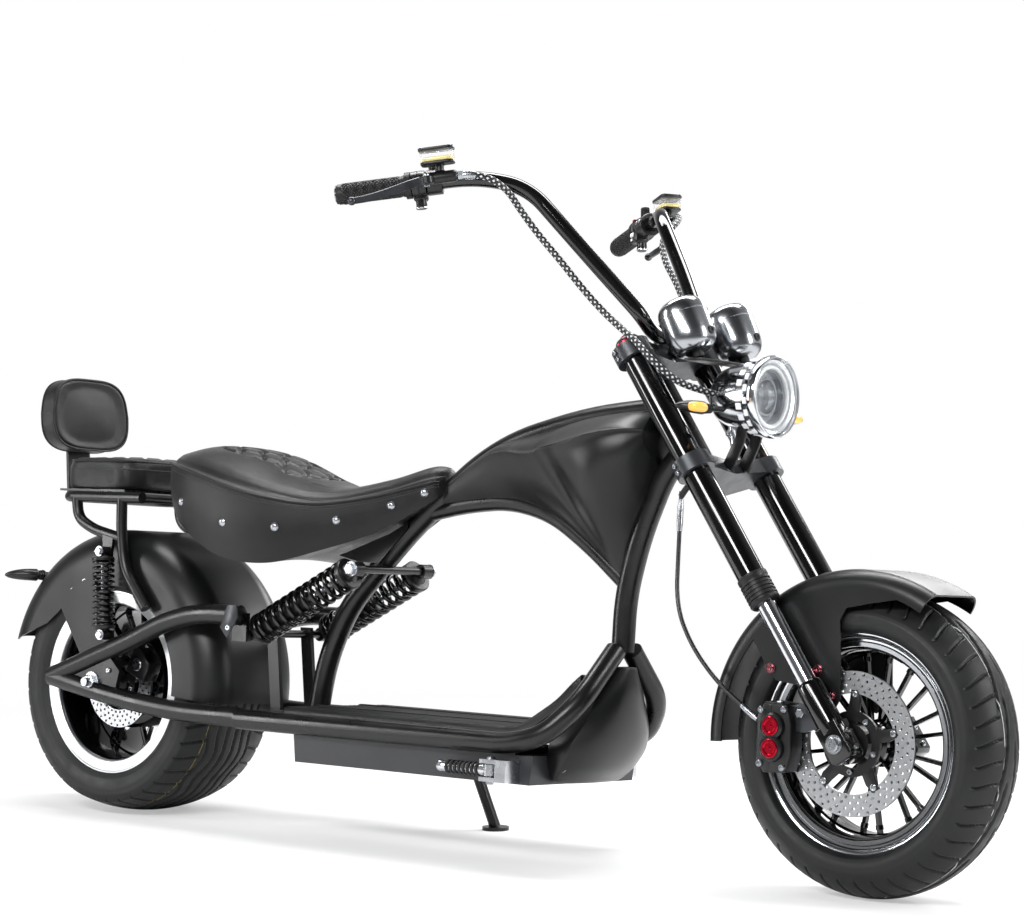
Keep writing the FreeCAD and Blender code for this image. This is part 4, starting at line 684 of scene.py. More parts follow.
def drilled_band(axle, outer, inner, y, thick, rows, columns, hole):
    """Flat brake ring with staggered rows of round holes."""
    points, faces = [], []

    def corner(radius, turn, level):
        angle = 2 * math.pi * turn / columns
        points.append(Vector((axle.x + radius * math.sin(angle), y - level, axle.z + radius * math.cos(angle))))
        return len(points) - 1

    depth = (outer - inner) / rows
    for row in range(rows):
        low, high = inner + row * depth, inner + (row + 1) * depth
        middle = (low + high) / 2
        for column in range(columns):
            start = column + 0.5 * (row % 2)
            edge = [(low, start + k / 4) for k in range(4)] + [(low + depth * k / 2, start + 1) for k in range(2)]
            edge += [(high, start + 1 - k / 4) for k in range(4)]
            edge += [(high - depth * k / 2, start) for k in range(2)]
            rims = []
            for level in (0, thick):
                border = [corner(r, t, level) for r, t in edge]
                ring = []
                for r, t in edge:
                    a, b = r - middle, (t - start - 0.5) * 2 * math.pi * middle / columns
                    size = math.hypot(a, b)
                    ring.append(corner(middle + a * hole / size,
                                       start + 0.5 + b * hole / size * columns / (2 * math.pi * middle), level))
                rims.append(ring)
                for k in range(len(edge)):
                    n = (k + 1) % len(edge)
                    quad = (border[k], border[n], ring[n], ring[k])
                    faces.append(quad if level else tuple(reversed(quad)))
            for k in range(len(edge)):
                n = (k + 1) % len(edge)
                faces.append((rims[0][k], rims[0][n], rims[1][n], rims[1][k]))
            for level_row, radius in ((0, inner), (rows - 1, outer)):
                if row == level_row:
                    for k in range(4):
                        quad = [corner(radius, start + k / 4, 0), corner(radius, start + (k + 1) / 4, 0),
                                corner(radius, start + (k + 1) / 4, thick), corner(radius, start + k / 4, thick)]
                        faces.append(tuple(quad) if radius == outer else tuple(reversed(quad)))
    corners = []
    for face in faces:
        polar = []
        for index in face:
            p = points[index] - axle
            polar.append((math.atan2(p.x, p.z) * outer * MM, math.hypot(p.x, p.z) * MM))
        if max(u for u, _ in polar) - min(u for u, _ in polar) > outer * MM:
            polar = [(u if u > 0 else u + 2 * math.pi * outer * MM, v) for u, v in polar]
        corners.append(tuple(polar))
    return part(points, faces, corners)


def brake_disc(name, axle, outer, inner, y, thick, rows, columns, hole, hub, body, node):
    """Drilled band on a black star carrier with silver buttons and screws."""
    piece(name + "_band", [drilled_band(axle, outer, inner, y, thick, rows, columns, hole)],
          "disc_steel", body, replaces=[node], weld=0.02)
    star = [wheel_ring([(y + 1, hub + 12), (y - thick - 1, hub + 12), (y - thick - 1, hub - 2), (y + 1, hub - 2)],
                       axle, 60)]
    star.append(wheel_ring([(y + 22, hub - 8), (y - thick - 2, hub - 8), (y - thick - 2, 9), (y + 22, 9)], axle, 48))
    buttons = []
    reach = inner + 1
    for index in range(5):
        arm = slab([(-7, hub - 12), (7, hub - 12), (10, hub + 8), (13, reach - 12), (10, reach + 3),
                    (-4, reach + 5), (-6, reach - 12), (-11, hub + 8)], thick + 1.5,
                   Matrix.Translation(axle + Y * (y - thick / 2)) @ standing(), 1.0)
        star.append(spun(arm, axle, index * 72))
        edge = axle + Y * (y - thick - 0.6)
        buttons.append(spun(cap_screw(edge + Z * (reach - 2) + X * 3, -Y, 5.0, 2.2), axle, index * 72))
        buttons.append(spun(cap_screw(edge + Z * (hub + 4), -Y, 4.5, 4.0), axle, index * 72 + 36))
    piece(name + "_carrier", star, "cast_black", body)
    piece(name + "_screws", buttons, "bolt_steel", body)


def rim_lip(half, flange, inner, style):
    """Section of the right lip, (y, radius), closed."""
    if style == "beaded":
        face = [(half - 9, inner - 1), (half - 5, inner + 1), (half - 4.5, inner + 7), (half - 7, inner + 9),
                (half - 6.5, inner + 12), (half - 3, inner + 14), (half + 0.5, flange - 1), (half + 1, flange + 1.2),
                (half - 1.5, flange + 2.4)]
    else:
        face = [(half - 8, inner - 2), (half - 3, inner - 1), (half - 1.5, inner + 1), (half - 0.5, flange - 3),
                (half + 1, flange - 1), (half + 0.8, flange + 1.4), (half - 1.5, flange + 2.4)]
    return face + [(half - 4, flange), (half - 12, inner + 2), (half - 13, inner - 1)]


def spoked_rim(name, axle, half, style, lip_finish, hub_parts, spokes, body, node):
    """Lips, barrel, hub and paired spokes with their collars."""
    section = rim_lip(half, FLANGE, RIM_INNER, style)
    other = [(-y, r) for y, r in reversed(section)]
    piece(name + "_lips", [wheel_ring(section, axle, 144), wheel_ring(other, axle, 144)], lip_finish, body,
          replaces=[node])
    well = [(half - 9, 150), (-half + 9, 150), (-half + 9, 143), (-half + 16, 139.5), (-14, 139.5), (-11, 137),
            (11, 137), (14, 139.5), (half - 16, 139.5), (half - 9, 143)]
    parts = [wheel_ring(well, axle, 120)] + hub_parts
    root, lean, thick = spokes
    for pair in range(10):
        for side in (-1, 1):
            turn = math.radians(side * lean)
            foot = Vector((side * 3.0, side * thick, root))
            tip = Vector((138.5 * math.sin(turn), side * thick * 0.5, 138.5 * math.cos(turn)))
            run = [axle + foot + (tip - foot) * t for t in (0, 0.5, 1)]
            bar = [(-4.5, -3.2), (4.5, -3.2), (5.2, 0), (4.5, 3.2), (-4.5, 3.2), (-5.2, 0)]
            parts.append(spun(sweep(run, bar, across=Y), axle, pair * 36))
            collar = [axle + foot + (tip - foot) * t for t in (0.86, 0.93)]
            parts.append(spun(sweep(collar, ring_section(6.2, 12)), axle, pair * 36))
    piece(name + "_spokes", parts, "gloss_black", body)


def hub(axle, profile):
    return [lathe(profile, axle, Y, 72, True)]


tyre("front_tyre_tread", FRONT_AXLE, 236.0, 136.0, 76.0, 104.0, front_tread, 792, "front_rubber", "front_wheel",
     "front_tyre")
tyre("rear_tyre_tread", REAR_AXLE, 238.0, 215.0, 300.0, 192.0, rear_tread, 714, "rear_rubber", "rear_wheel",
     "rear_tyre")
front_hub = hub(FRONT_AXLE, [(-42, 9), (-42, 26), (-38, 30), (-30, 30), (-26, 37), (-18, 37), (-15, 24), (15, 24),
                             (18, 37), (26, 37), (30, 30), (38, 30), (42, 26), (42, 9)])
rear_hub = hub(REAR_AXLE, [(-64, 9), (-64, 40), (-58, 52), (-50, 78), (-44, 85), (44, 85), (50, 78), (58, 52),
                           (64, 40), (64, 9)])
spoked_rim("front_rim", FRONT_AXLE, 52.0, "beaded", "polished_lip", front_hub, (35, 7.5, 9), "front_wheel", "front_rim")
spoked_rim("rear_rim", REAR_AXLE, 96.0, "flat", "satin_lip", rear_hub, (84, 6.5, 14), "rear_wheel", "rear_rim")
brake_disc("front_disc", FRONT_AXLE, 110.0, 76.0, -64.0, 4.0, 4, 40, 2.5, 38, "front_wheel", "front_disc")
brake_disc("rear_disc", REAR_AXLE, 84.0, 52.0, -72.0, 4.0, 4, 32, 2.4, 30, "rear_wheel", "rear_disc")


# Cover below the ridge tube

# Ribs from the ridge tube down to the arch or the down tube. Columns: ridge x z, panel x y z, shoulder x y z,
# flank x y z, foot x z. The fold of the flank runs down the eighth rib.
RIBS = [
    (680, 582, 680, 12, 581, 680, 13, 580, 680, 12, 577, 680, 574),
    (720, 612, 724, 18, 616, 728, 21, 614, 738, 20, 600, 752, 584),
    (770, 650, 774, 24, 650, 778, 32, 643, 795, 29, 618, 815, 590),
    (820, 684, 824, 32, 676, 827, 44, 665, 845, 36, 632, 870, 590),
    (862, 697, 866, 38, 686, 869, 54, 672, 898, 41, 628, 930, 574),
    (895, 705, 901, 43, 689, 906, 61, 670, 944, 45, 616, 985, 547),
    (922, 711, 930, 45, 693, 937, 67, 670, 988, 46, 596, 1045, 503),
    (945, 716, 953, 43, 701, 960, 70, 677, 1022, 43, 578, 1091, 470),
    (985, 724, 992, 42, 716, 1000, 84, 683, 1050, 66, 590, 1100, 487),
    (1030, 732, 1036, 42, 727, 1044, 93, 692, 1078, 80, 612, 1108, 516),
    (1075, 737, 1080, 42, 734, 1086, 93, 703, 1105, 82, 642, 1122, 556),
    (1120, 742, 1122, 38, 739, 1126, 79, 710, 1136, 72, 664, 1141, 600),
    (1160, 748, 1160, 30, 742, 1160, 58, 711, 1160, 52, 690, 1160, 652),
]


def between_rows(rows, t):
    """Smooth value of each column at t, counted in rows."""
    k = min(int(t), len(rows) - 2)
    t -= k
    a, b, c, d = (rows[max(0, min(len(rows) - 1, k + n))] for n in (-1, 0, 1, 2))
    return [spline(*four, t) for four in zip(a, b, c, d)]


def ring_loft(rings):
    """Closed skin over rings of equally many points."""
    n = len(rings[0])
    faces = strip_faces(len(rings), n, False, True)
    faces += [tuple(range(n)), tuple(range(len(rings) * n - 1, (len(rings) - 1) * n - 1, -1))]
    return part([p for ring in rings for p in ring], [tuple(reversed(f)) for f in faces])


def cover():
    rings = []
    steps = 8
    for index in range((len(RIBS) - 1) * steps + 1):
        tx, tz, nx, ny, nz, cx, cy, cz, mx, my, mz, bx, bz = between_rows(RIBS, index / steps)
        ridge, panel, shoulder = Vector((tx, 9, tz)), Vector((nx, ny, nz)), Vector((cx, cy, cz))
        flank, foot = Vector((mx, my, mz)), Vector((bx, 9, bz))
        near, below = shoulder.lerp(panel, 0.16), shoulder.lerp(flank, 0.14)
        high = shoulder + (shoulder - near.lerp(below, 0.5)) * 0.2
        side = resample([ridge, panel, near, high, below, flank, foot], (6, 6, 3, 3, 8, 8))
        other = [Vector((p.x, -p.y, p.z)) for p in reversed(side)]
        rings.append(side + other)
    return ring_loft(rings)


piece("tank_cover_skin", [cover()], "cover_paint", "frame", sharp=60, replaces=["tank_cover"])

# Chin shovel between the rising rails. Columns: height, back x, side x, front x, half-width
CHIN = [
    (133, 1028.4, 1033, 1045, 80),
    (140, 1028.4, 1040, 1056, 92),
    (160, 1028.4, 1056, 1080, 102),
    (192, 1029, 1074, 1100, 106),
    (232, 1036, 1088, 1114, 90),
    (280, 1062, 1096, 1120, 60),
    (320, 1090, 1102, 1119, 30),
    (326, 1093, 1103, 1116, 26),
]


def chin():
    """Smooth shovel with a soft fold down each side where the bowed front meets the flat cheek."""
    rings = []
    for k in range((len(CHIN) - 1) * 6 + 1):
        z, back, side, front, half = between_rows(CHIN, k / 6)
        bow = front - side
        across = [(side + bow * (1 - (n / 8) ** 2.2), half * n / 8) for n in range(7, 0, -1)]
        left = [(back, half * 0.97), (back + (side - back) * 0.5, half), (side - 3, half), (side + 0.5, half - 1.2)]
        left += across + [(front, 0.0)]
        ring = left + [(x, -y) for x, y in reversed(left[:-1])]
        rings.append([Vector((x, y, z)) for x, y in ring])
    return ring_loft(rings)


piece("chin_skin", [chin()], "cover_paint", "frame", sharp=34, replaces=["chin_cover"])


# Leather pieces

def inflated(points, faces, held, pressure, cap, frames=18, along=None):
    """Points of a sewn cover after the foam has pushed it out between the held seams, moved by cap mm at most."""
    mesh = bpy.data.meshes.new("cover_cut")
    mesh.from_pydata([UPRIGHT @ p for p in points], [], faces)
    cut = linked("cover_cut", mesh)
    seams = cut.vertex_groups.new(name="seams")
    seams.add(held, 1.0, "REPLACE")
    cloth = cut.modifiers.new("foam", "CLOTH")
    cloth.settings.vertex_group_mass = "seams"
    cloth.settings.use_pressure = True
    cloth.settings.uniform_pressure_force = pressure
    cloth.settings.effector_weights.gravity = 0
    cloth.settings.quality = 6
    cloth.settings.tension_stiffness = cloth.settings.compression_stiffness = 20
    cloth.point_cache.frame_start, cloth.point_cache.frame_end = 1, frames
    scene = bpy.context.scene
    for frame_number in range(1, frames + 1):
        scene.frame_set(frame_number)
    swollen = bpy.data.meshes.new_from_object(cut.evaluated_get(bpy.context.evaluated_depsgraph_get()))
    result = []
    for before, vertex in zip(points, swollen.vertices):
        shift = BACK @ vertex.co - before
        if along:
            shift = along * max(0.0, shift.dot(along))
        result.append(before + shift * min(1.0, cap / max(shift.length, 1e-6)))
    scene.frame_set(1)
    bpy.data.objects.remove(cut)
    bpy.data.meshes.remove(mesh)
    bpy.data.meshes.remove(swollen)
    return result


def soften(made):
    """Subdivision that rounds the sewn cover."""
    smooth = made.modifiers.new("soft", "SUBSURF")
    smooth.levels = smooth.render_levels = 1


def cell_edge(a, b, length, width):
    """Distance to the nearest seam of staggered quilted cells, in cells' own mm."""
    row = math.floor(b / width)
    best = []
    for r in (row - 1, row, row + 1):
        offset = 0.5 * (r % 2)
        column = math.floor(a / length - offset)
        for c in (column - 1, column, column + 1):
            da = (a - (c + 0.5 + offset) * length) / length
            db = (b - (r + 0.5) * width) / width
            best.append(math.hypot(da, db * 0.9))
    best.sort()
    return (best[1] - best[0]) / 2 * min(length, width)


def stitches(run, pitch=4.2, length=2.8, radius=0.55, lift=0.4):
    """Short raised threads along a run of (point, normal)."""
    shapes = []
    lengths = run_lengths([p for p, _ in run])
    at = pitch / 2
    k = 0
    while at < lengths[-1]:
        while lengths[k + 1] < at:
            k += 1
        t = (at - lengths[k]) / max(lengths[k + 1] - lengths[k], 1e-6)
        middle = run[k][0].lerp(run[k + 1][0], t)
        normal = run[k][1].lerp(run[k + 1][1], t).normalized()
        ahead = (run[k + 1][0] - run[k][0]).normalized()
        line = [middle - ahead * length / 2 - normal * 0.3, middle + normal * lift,
                middle + ahead * length / 2 - normal * 0.3]
        shapes.append(sweep(line, ring_section(radius, 5), across=normal))
        at += pitch
    return shapes


# Saddle sections: x, half-width at the seam, seam height, crown height, skirt half-width, skirt height
SADDLE = [
    (112, 56, 640, 651, 52, 612),
    (122, 82, 642, 658, 76, 590),
    (150, 112, 641, 668, 104, 560),
    (215, 141, 628, 677, 134, 520),
    (310, 151, 604, 664, 143, 478),
    (410, 138, 584, 627, 130, 470),
    (500, 104, 576, 606, 98, 494),
    (600, 68, 592, 622, 61, 530),
    (680, 47, 612, 644, 43, 572),
    (706, 36, 620, 644, 33, 590),
    (715, 20, 624, 638, 18, 600),
]


def skirt_half(half, low_half, s):
    """Half-width of the skirt at a share s of its height, with its belly."""
    return half + (low_half - half) * s + 7 * math.sin(math.pi * s) * half / 150


def saddle_row(t, across, skirt):
    """One section of the saddle from its left seam over the crown, down the skirt and under, as points."""
    x, half, seam, crown, low_half, low = between_rows(SADDLE, t)
    row = []
    for k in range(across + 1):
        s = 1 - 2 * k / across
        lift = (1 - abs(s) ** 2.6) ** 0.85
        row.append(Vector((x, half * s, seam + (crown - seam) * lift)))
    for k in range(1, skirt + 1):
        s = k / skirt
        row.append(Vector((x, -skirt_half(half, low_half, s), seam + (low - seam) * s)))
    under = 10
    for k in range(1, under):
        s = 1 - 2 * k / under
        row.append(Vector((x, -low_half * s, low + 9 * (1 - s * s))))
    for k in range(skirt, 0, -1):
        s = k / skirt
        row.append(Vector((x, skirt_half(half, low_half, s), seam + (low - seam) * s)))
    return row


def saddle():
    """Sewn cover with a welt round its edge and a quilted middle, pushed out by its foam."""
    across, skirt, fine = 84, 12, 24
    rows = [saddle_row(k / fine, across, skirt) for k in range((len(SADDLE) - 1) * fine + 1)]
    count = len(rows[0])
    held = []
    quilt = {}
    for i, row in enumerate(rows):
        x = row[0].x
        half = row[0].y
        for j in range(across + 1):
            p = row[j]
            inset = (1 - abs(p.y) / max(half, 1)) * half
            welt = math.exp(-((inset - 9) / 3.2) ** 2)
            end = min(1.0, max(0.0, (x - 118) / 30))
            p.z -= 4.5 * welt * end
            if 0 < j < across and inset > 14:
                p.z += 3.0 * min(1.0, (inset - 14) / 12) * end
            edge = quilt_edge(p.x, p.y)
            if edge is not None:
                quilt[(i, j)] = edge
                p.z -= 6.5 * math.exp(-(edge / 3.0) ** 2)
                if edge < 2.6:
                    held.append(i * count + j)
            if inset < 13:
                held.append(i * count + j)
        held += [i * count + j for j in range(across + 1, count)]
    shape = ring_loft(rows)
    points = inflated(shape[0], shape[1], sorted(set(held)), 6.0, 5.0, along=Z)
    for (i, j), edge in quilt.items():
        points[i * count + j] = points[i * count + j] - Z * 2.0 * math.exp(-(edge / 2.2) ** 2)
    return points, shape[1], None


def quilt_edge(x, y):
    """Distance to the nearest quilting seam of the saddle's middle, or None outside it."""
    reach = 74 * math.sqrt(max(0.0, 1 - ((x - 318) / 118) ** 4))
    notch_in = 16 * math.exp(-((x - 352) / 26) ** 2)
    border = reach - notch_in - abs(y)
    if reach <= 0 or border < -6:
        return None
    inner = cell_edge(x + 6 * math.cos(y / 16), y + 17, 54, 34)
    return min(abs(border), inner) if border > 0 else abs(border)


piece("saddle", [saddle()], "leather", "frame", sharp=75, replaces=["seat"], weld=0)


def saddle_line(drop, rise):
    """Run along the skirt, drop mm below the seam, right side, with outward normals."""
    run = []
    for k in range(8, (len(SADDLE) - 1) * 16 - 6):
        x, half, seam, _, low_half, low = between_rows(SADDLE, k / 16)
        s = drop / (seam - low)
        point = Vector((x, -skirt_half(half, low_half, s), seam - drop))
        run.append((point, Vector((0, -1, 0.12)).normalized()))
    out = []
    for (a, _), (b, _) in zip(run, run[1:]):
        normal = (b - a).normalized().cross(Vector((0, 0.1, 1))).normalized()
        out.append((a + normal * rise, normal))
    return out


seams = stitches(saddle_line(5, 0.6)) + stitches(saddle_line(9.5, 0.6))
piece("saddle_stitches", both(seams), "thread", "frame")
piping = [p for p, _ in saddle_line(0.5, 0.2)]
welt = sweep(piping, ring_section(2.6, 10), taper=lambda t: min(1, 12 * t + 0.2, 12.2 - 12 * t))
piece("saddle_piping", both([welt]), "leather", "frame")

rivets = []
for x, s in ((206, 0.55), (322, 0.50), (430, 0.44), (536, 0.42), (628, 0.40), (688, 0.40)):
    t = next(k for k in range(len(SADDLE)) if SADDLE[k][0] > x)
    t = t - 1 + (x - SADDLE[t - 1][0]) / (SADDLE[t][0] - SADDLE[t - 1][0])
    px, half, seam, _, low_half, low = between_rows(SADDLE, t)
    ahead = between_rows(SADDLE, min(t + 0.1, len(SADDLE) - 1.01))
    slope = (ahead[1] - half) / max(ahead[0] - px, 1e-3)
    at = Vector((px, -skirt_half(half, low_half, s) + 0.4, seam + (low - seam) * s))
    out = Vector((-slope, -1, -0.10)).normalized()
    rivets.append(dome_rivet(at, out, 7.4))
piece("saddle_rivets", both(rivets), "bolt_steel", "frame")


# Pillion pad and backrest

def squircle(a, b, power, count):
    """Points round a rounded rectangle with half sizes a and b."""
    ring = []
    for k in range(count):
        angle = 2 * math.pi * k / count
        c, s = math.cos(angle), math.sin(angle)
        size = (abs(c) ** power + abs(s) ** power) ** (-1 / power)
        ring.append((a * c * size, b * s * size))
    return ring


def pad(middle, half_long, half_wide, high, quilt):
    """Boxed cushion from its base ring up its gusset and over its crown. quilt gives the depth of a seam."""
    base = squircle(half_long, half_wide, 5.0, 96)
    rings, held = [], []
    profile = [(0.90, 0.0), (0.965, 0.0), (0.99, 0.05), (1.0, 0.18), (1.004, 0.4), (1.0, 0.62), (0.985, 0.80),
               (0.965, 0.86), (0.945, 0.84), (0.93, 0.88), (0.91, 0.93)]
    crown_rows = 22
    profile += [(0.90 * (1 - k / crown_rows), 0.955 + 0.10 * math.sin(math.pi / 2 * k / crown_rows))
                for k in range(1, crown_rows)]
    count = len(base)
    for row, (size, level) in enumerate(profile):
        ring = []
        for a, b in base:
            la, lb = a * size, b * size
            height = high * level
            if row > 10:
                depth, seam = quilt(la, lb)
                height -= depth
                if seam:
                    held.append(row * count + len(ring))
            ring.append(middle + X * la + Y * lb + Z * height)
        rings.append(ring)
        if row < 2 or row in (6, 7, 8, 9):
            held += [row * count + k for k in range(count)]
    shape = ring_loft(rings)
    points = inflated(shape[0], shape[1], sorted(set(held)), 5.0, 6.0)
    return (points, shape[1], None), rings


def diamond(a, b, size=46, depth=4.5):
    """Diamond quilting inside a plain border: depth of the seam, and whether the cover is held there."""
    if abs(a) >= 72 or abs(b) >= 104:
        return 0, False
    lines = [((a + b) / size) % 1.0, ((a - b) / size) % 1.0]
    near = min(min(line, 1 - line) for line in lines) * size / 1.414
    return depth * math.exp(-(near / 3.0) ** 2), near < 2.2


PILLION_MIDDLE = Vector((-38, 0, 592.9))
pillion_shape, pillion_rings = pad(PILLION_MIDDLE, 94, 128, 61, diamond)
pillion_cover = piece("pillion_cover", [pillion_shape], "leather", "frame", sharp=75,
                      replaces=["pillion_pad"], weld=0)
soften(pillion_cover)


def ring_run(ring, out_from, lift):
    """A closed run round a ring of points with outward normals."""
    run = []
    for p in ring + ring[:1]:
        normal = (p - out_from).normalized()
        run.append((p + normal * lift, normal))
    return run


piece("pillion_stitches", stitches(ring_run(pillion_rings[5], PILLION_MIDDLE + Z * 50, 0.9)), "thread", "frame")
piece("pillion_piping", [sweep(pillion_rings[7], ring_section(2.2, 8), closed=True)], "leather", "frame")

TILT = math.radians(6)
back_up = Vector((-math.sin(TILT), 0, math.cos(TILT)))
back_ahead = Vector((math.cos(TILT), 0, math.sin(TILT)))
BACKREST_FOOT = Vector((-220, 0, 665))


def backrest_outline(count, size):
    """Rounded outline, wider below, as (left, up) about the middle."""
    ring = []
    for a, b in squircle(97, 68.5, 3.6, count):
        taper = 1 - 0.10 * (b / 68.5) if b > 0 else 1 - 0.04 * (-b / 68.5) ** 2
        ring.append((a * taper * size, b * size))
    return ring


def backrest_cover():
    """Cushion over its shell, with its rings and middle for the piping and the back."""
    middle = BACKREST_FOOT + back_up * 69
    count = 96
    profile = [(0.55, 3.2), (0.80, 2.2), (0.93, 0.8), (0.985, 0.4), (1.0, 3), (1.004, 12), (1.004, 24), (0.998, 32),
               (0.985, 35.5), (0.968, 34.2), (0.95, 36), (0.92, 38.5)]
    profile += [(0.92 * (1 - k / 14), 38.5 + 7.0 * math.sin(math.pi / 2 * k / 14)) for k in range(1, 14)]
    rings, held = [], []
    for row, (size, depth) in enumerate(profile):
        rings.append([middle + Y * a + back_up * b + back_ahead * depth for a, b in backrest_outline(count, size)])
        if row < 5 or row in (7, 8, 9, 10):
            held += [row * count + k for k in range(count)]
    shape = ring_loft(rings)
    points = inflated(shape[0], shape[1], held, 5.0, 6.0)
    return (points, shape[1], None), rings, middle


backrest_shape, backrest_rings, backrest_middle = backrest_cover()
backrest = piece("backrest_cover", [backrest_shape], "leather", "frame", sharp=75, replaces=["backrest"],
                 weld=0)
soften(backrest)
shell = [[p - back_ahead * 1.2 for p in backrest_rings[k]] for k in (0, 1, 2, 3)]
rim_line = [p + (p - backrest_middle).normalized() * 1.4 for p in backrest_rings[4]]
inside = [[p + back_ahead * 1.0 for p in backrest_rings[k]] for k in (3, 2, 1, 0)]
piece("backrest_back", [ring_loft(shell + [rim_line] + inside)], "carbon_film", "frame", sharp=50)
piece("backrest_piping", [sweep(backrest_rings[8], ring_section(2.2, 8), closed=True)], "leather", "frame")


# Fork

def rounded_ring(outer, inner, low, high, edge=1.0):
    """Closed (along, radius) section of a ring with broken edges."""
    return [(low, inner), (low, outer - edge), (low + edge, outer), (high - edge, outer), (high, outer - edge),
            (high, inner)]


def fork_ring(profile, along, side, ahead=0.0, steps=48, closed=True):
    return lathe(profile, on_fork(along, ahead, side), FORK_UP, steps, closed)


def dust_seal(side):
    """Rubber bellows lip with six ribs at the lower end of the upper tube."""
    outer = [(0, 15.4), (0, 21.5), (2, 23.6)]
    for rib in range(6):
        base = 4 + rib * 6.4
        outer += [(base, 24.8), (base + 2.6, 24.8), (base + 3.4, 23.2), (base + 5.6, 23.2)]
    outer += [(44, 24.6), (50, 24.6), (51, 22.7), (51, 15.4)]
    return fork_ring(outer, 249, side)


def fork_foot(side):
    """Cast leg with a round upper half, a long milled flat outside, and a square axle block."""
    parts = [fork_ring([(20, 0), (20, 20.6), (100, 20.6), (104, 20.0), (107, 17.8), (107.5, 15.3), (107.5, 0)], 0,
                       side, closed=False)]
    corners = [(-14, 28), (-20, 22), (-20, -34), (20, -34), (20, 22), (14, 28)]
    place = basis(on_fork(0, 0, side), Y, FORK_AHEAD)
    parts.append(slab(corners, 38, place, 1.6, 3))
    out = 1 if side > 0 else -1
    facet = [(7 * math.cos(a), -62 + (-34 if math.sin(a) < 0 else 34) + 7 * math.sin(a))
             for a in (math.radians(k * 30) for k in range(12))]
    parts.append(slab(facet, 2.0, basis(on_fork(0, 0, side + out * 20.2), Y, FORK_AHEAD), 0.8))
    return parts


seals, feet, sliders, caps, reds, foot_bolts = [], [], [], [], [], []
for side in (-FORK_SPREAD, FORK_SPREAD):
    out = Y * (1 if side > 0 else -1)
    seals.append(dust_seal(side))
    feet += fork_foot(side)
    sliders.append(fork_ring([(100, 0), (100, 15), (249.7, 15), (249.7, 0)], 0, side, closed=False))
    caps.append(fork_ring([(744, 0), (744, 19), (747, 20), (750, 18), (750, 11), (753, 10), (753, 0)], 0, side,
                          closed=False))
    reds.append(fork_ring(rounded_ring(22.9, 20, 738.5, 743.5, 0.8), 0, side))
    reds.append(fork_ring([(753.2, 0), (753.2, 7.5), (757, 7), (757, 3.5), (755.6, 3), (755.6, 0)], 0, side,
                          closed=False))
    foot_bolts.append(lathe([(0, 0), (0, 14.5), (2, 14.5), (2, 12), (7, 11.4), (9, 9.5), (9, 5), (6, 4.6), (6, 0)],
                            FRONT_AXLE + out * 117.2, out, 36, sides={6: 6, 7: 6}))
    for along in (-16, 12):
        foot_bolts.append(cap_screw(on_fork(along, 19.5, side), FORK_AHEAD, 4.4, 4.4))
piece("fork_seals", seals, "grip_rubber", "steering")
piece("fork_castings", feet, "gloss_black", "steering", replaces=["fork_legs"])
piece("fork_sliders", sliders, "chrome", "steering")
piece("fork_caps", caps, "cast_grey", "steering")
piece("fork_accents", reds, "red_anodised", "steering")
piece("axle_bolts", foot_bolts, "bolt_steel", "steering")

clamp_screws = []
for along in (LOWER_CLAMP, UPPER_CLAMP):
    for side in (-FORK_SPREAD, FORK_SPREAD):
        out = 1 if side > 0 else -1
        for lift in (-6, 6):
            at = on_fork(along + lift, -12, side + out * 29.5)
            clamp_screws.append(cap_screw(at, Y * out - FORK_AHEAD * 0.4, 3.6, 4.0))
        clamp_screws.append(cap_screw(on_fork(along + 13, -26, side * 0.62), FORK_UP, 4.2, 4.2))
stem_top = on_fork(737.2, HEAD_BEHIND)
stem_nut = [(0, 0), (0, 17), (2, 18), (9, 18), (11, 16), (11, 8), (7, 7.4), (7, 0)]
clamp_screws.append(lathe(stem_nut, stem_top, FORK_UP, 36, sides={5: 6, 6: 6}))
piece("clamp_screws", clamp_screws, "bolt_steel", "steering")
cups = [lathe(rounded_ring(30.2, 20, low, low + 9, 1.4), on_fork(0, HEAD_BEHIND), FORK_UP, 48, True)
        for low in (525.5, 694.5)]
piece("head_bearing_cups", cups, "cast_grey", "frame")

# Screws of the front fender's plates

screws = [cap_screw(Vector((x, out * 77.0, z)), Y * out, 6.0, 4.2, washer=8.4)
          for x, z in ((1434.5, 342.5), (1520.5, 345.0), (1545.5, 305.0)) for out in (-1, 1)]
piece("fender_screws", screws, "pink_screw", "steering")


# Front brake: caliper halves, piston caps, fittings and bracket

def from_axle(outline):
    """An outline about the front axle as the machine's (x, z)."""
    return [(FRONT_AXLE.x + x, FRONT_AXLE.z + z) for x, z in outline]


CALIPER = [(-147, -30), (-133, -52), (-93, -50), (-85, -22), (-85, 26), (-93, 54), (-133, 58), (-147, 36)]
BRIDGE = [(-147, -30), (-133, -52), (-119, -50), (-119, 54), (-133, 58), (-147, 36)]
halves = [slab(from_axle(CALIPER), 36.5, standing(-88.3), 4.0, 3),
          slab(from_axle(CALIPER), 4.6, standing(-60.4), 1.2, 2),
          slab(from_axle(BRIDGE), 49, standing(-83.0), 4.0, 3)]
BORES = (-14, 20)
boss = [(0, 0), (0, 20), (3, 21), (9, 20), (12, 17), (12, 0)]
halves += [lathe(boss, FRONT_AXLE + Vector((-116, -104, z)), -Y, 48) for z in BORES]
piece("front_caliper_halves", halves, "cast_black", "steering", replaces=["front_caliper"])
cap = [(0, 0), (0, 14.5), (1.4, 14.8), (2.6, 13.6), (2.6, 10), (1.2, 8.6), (1.2, 3.4), (2.6, 2.4), (2.6, 0)]
caps = [lathe(cap, FRONT_AXLE + Vector((-116, -115.6, z)), -Y, 48) for z in BORES]
piece("piston_caps", caps, "red_anodised", "steering")
fittings = []
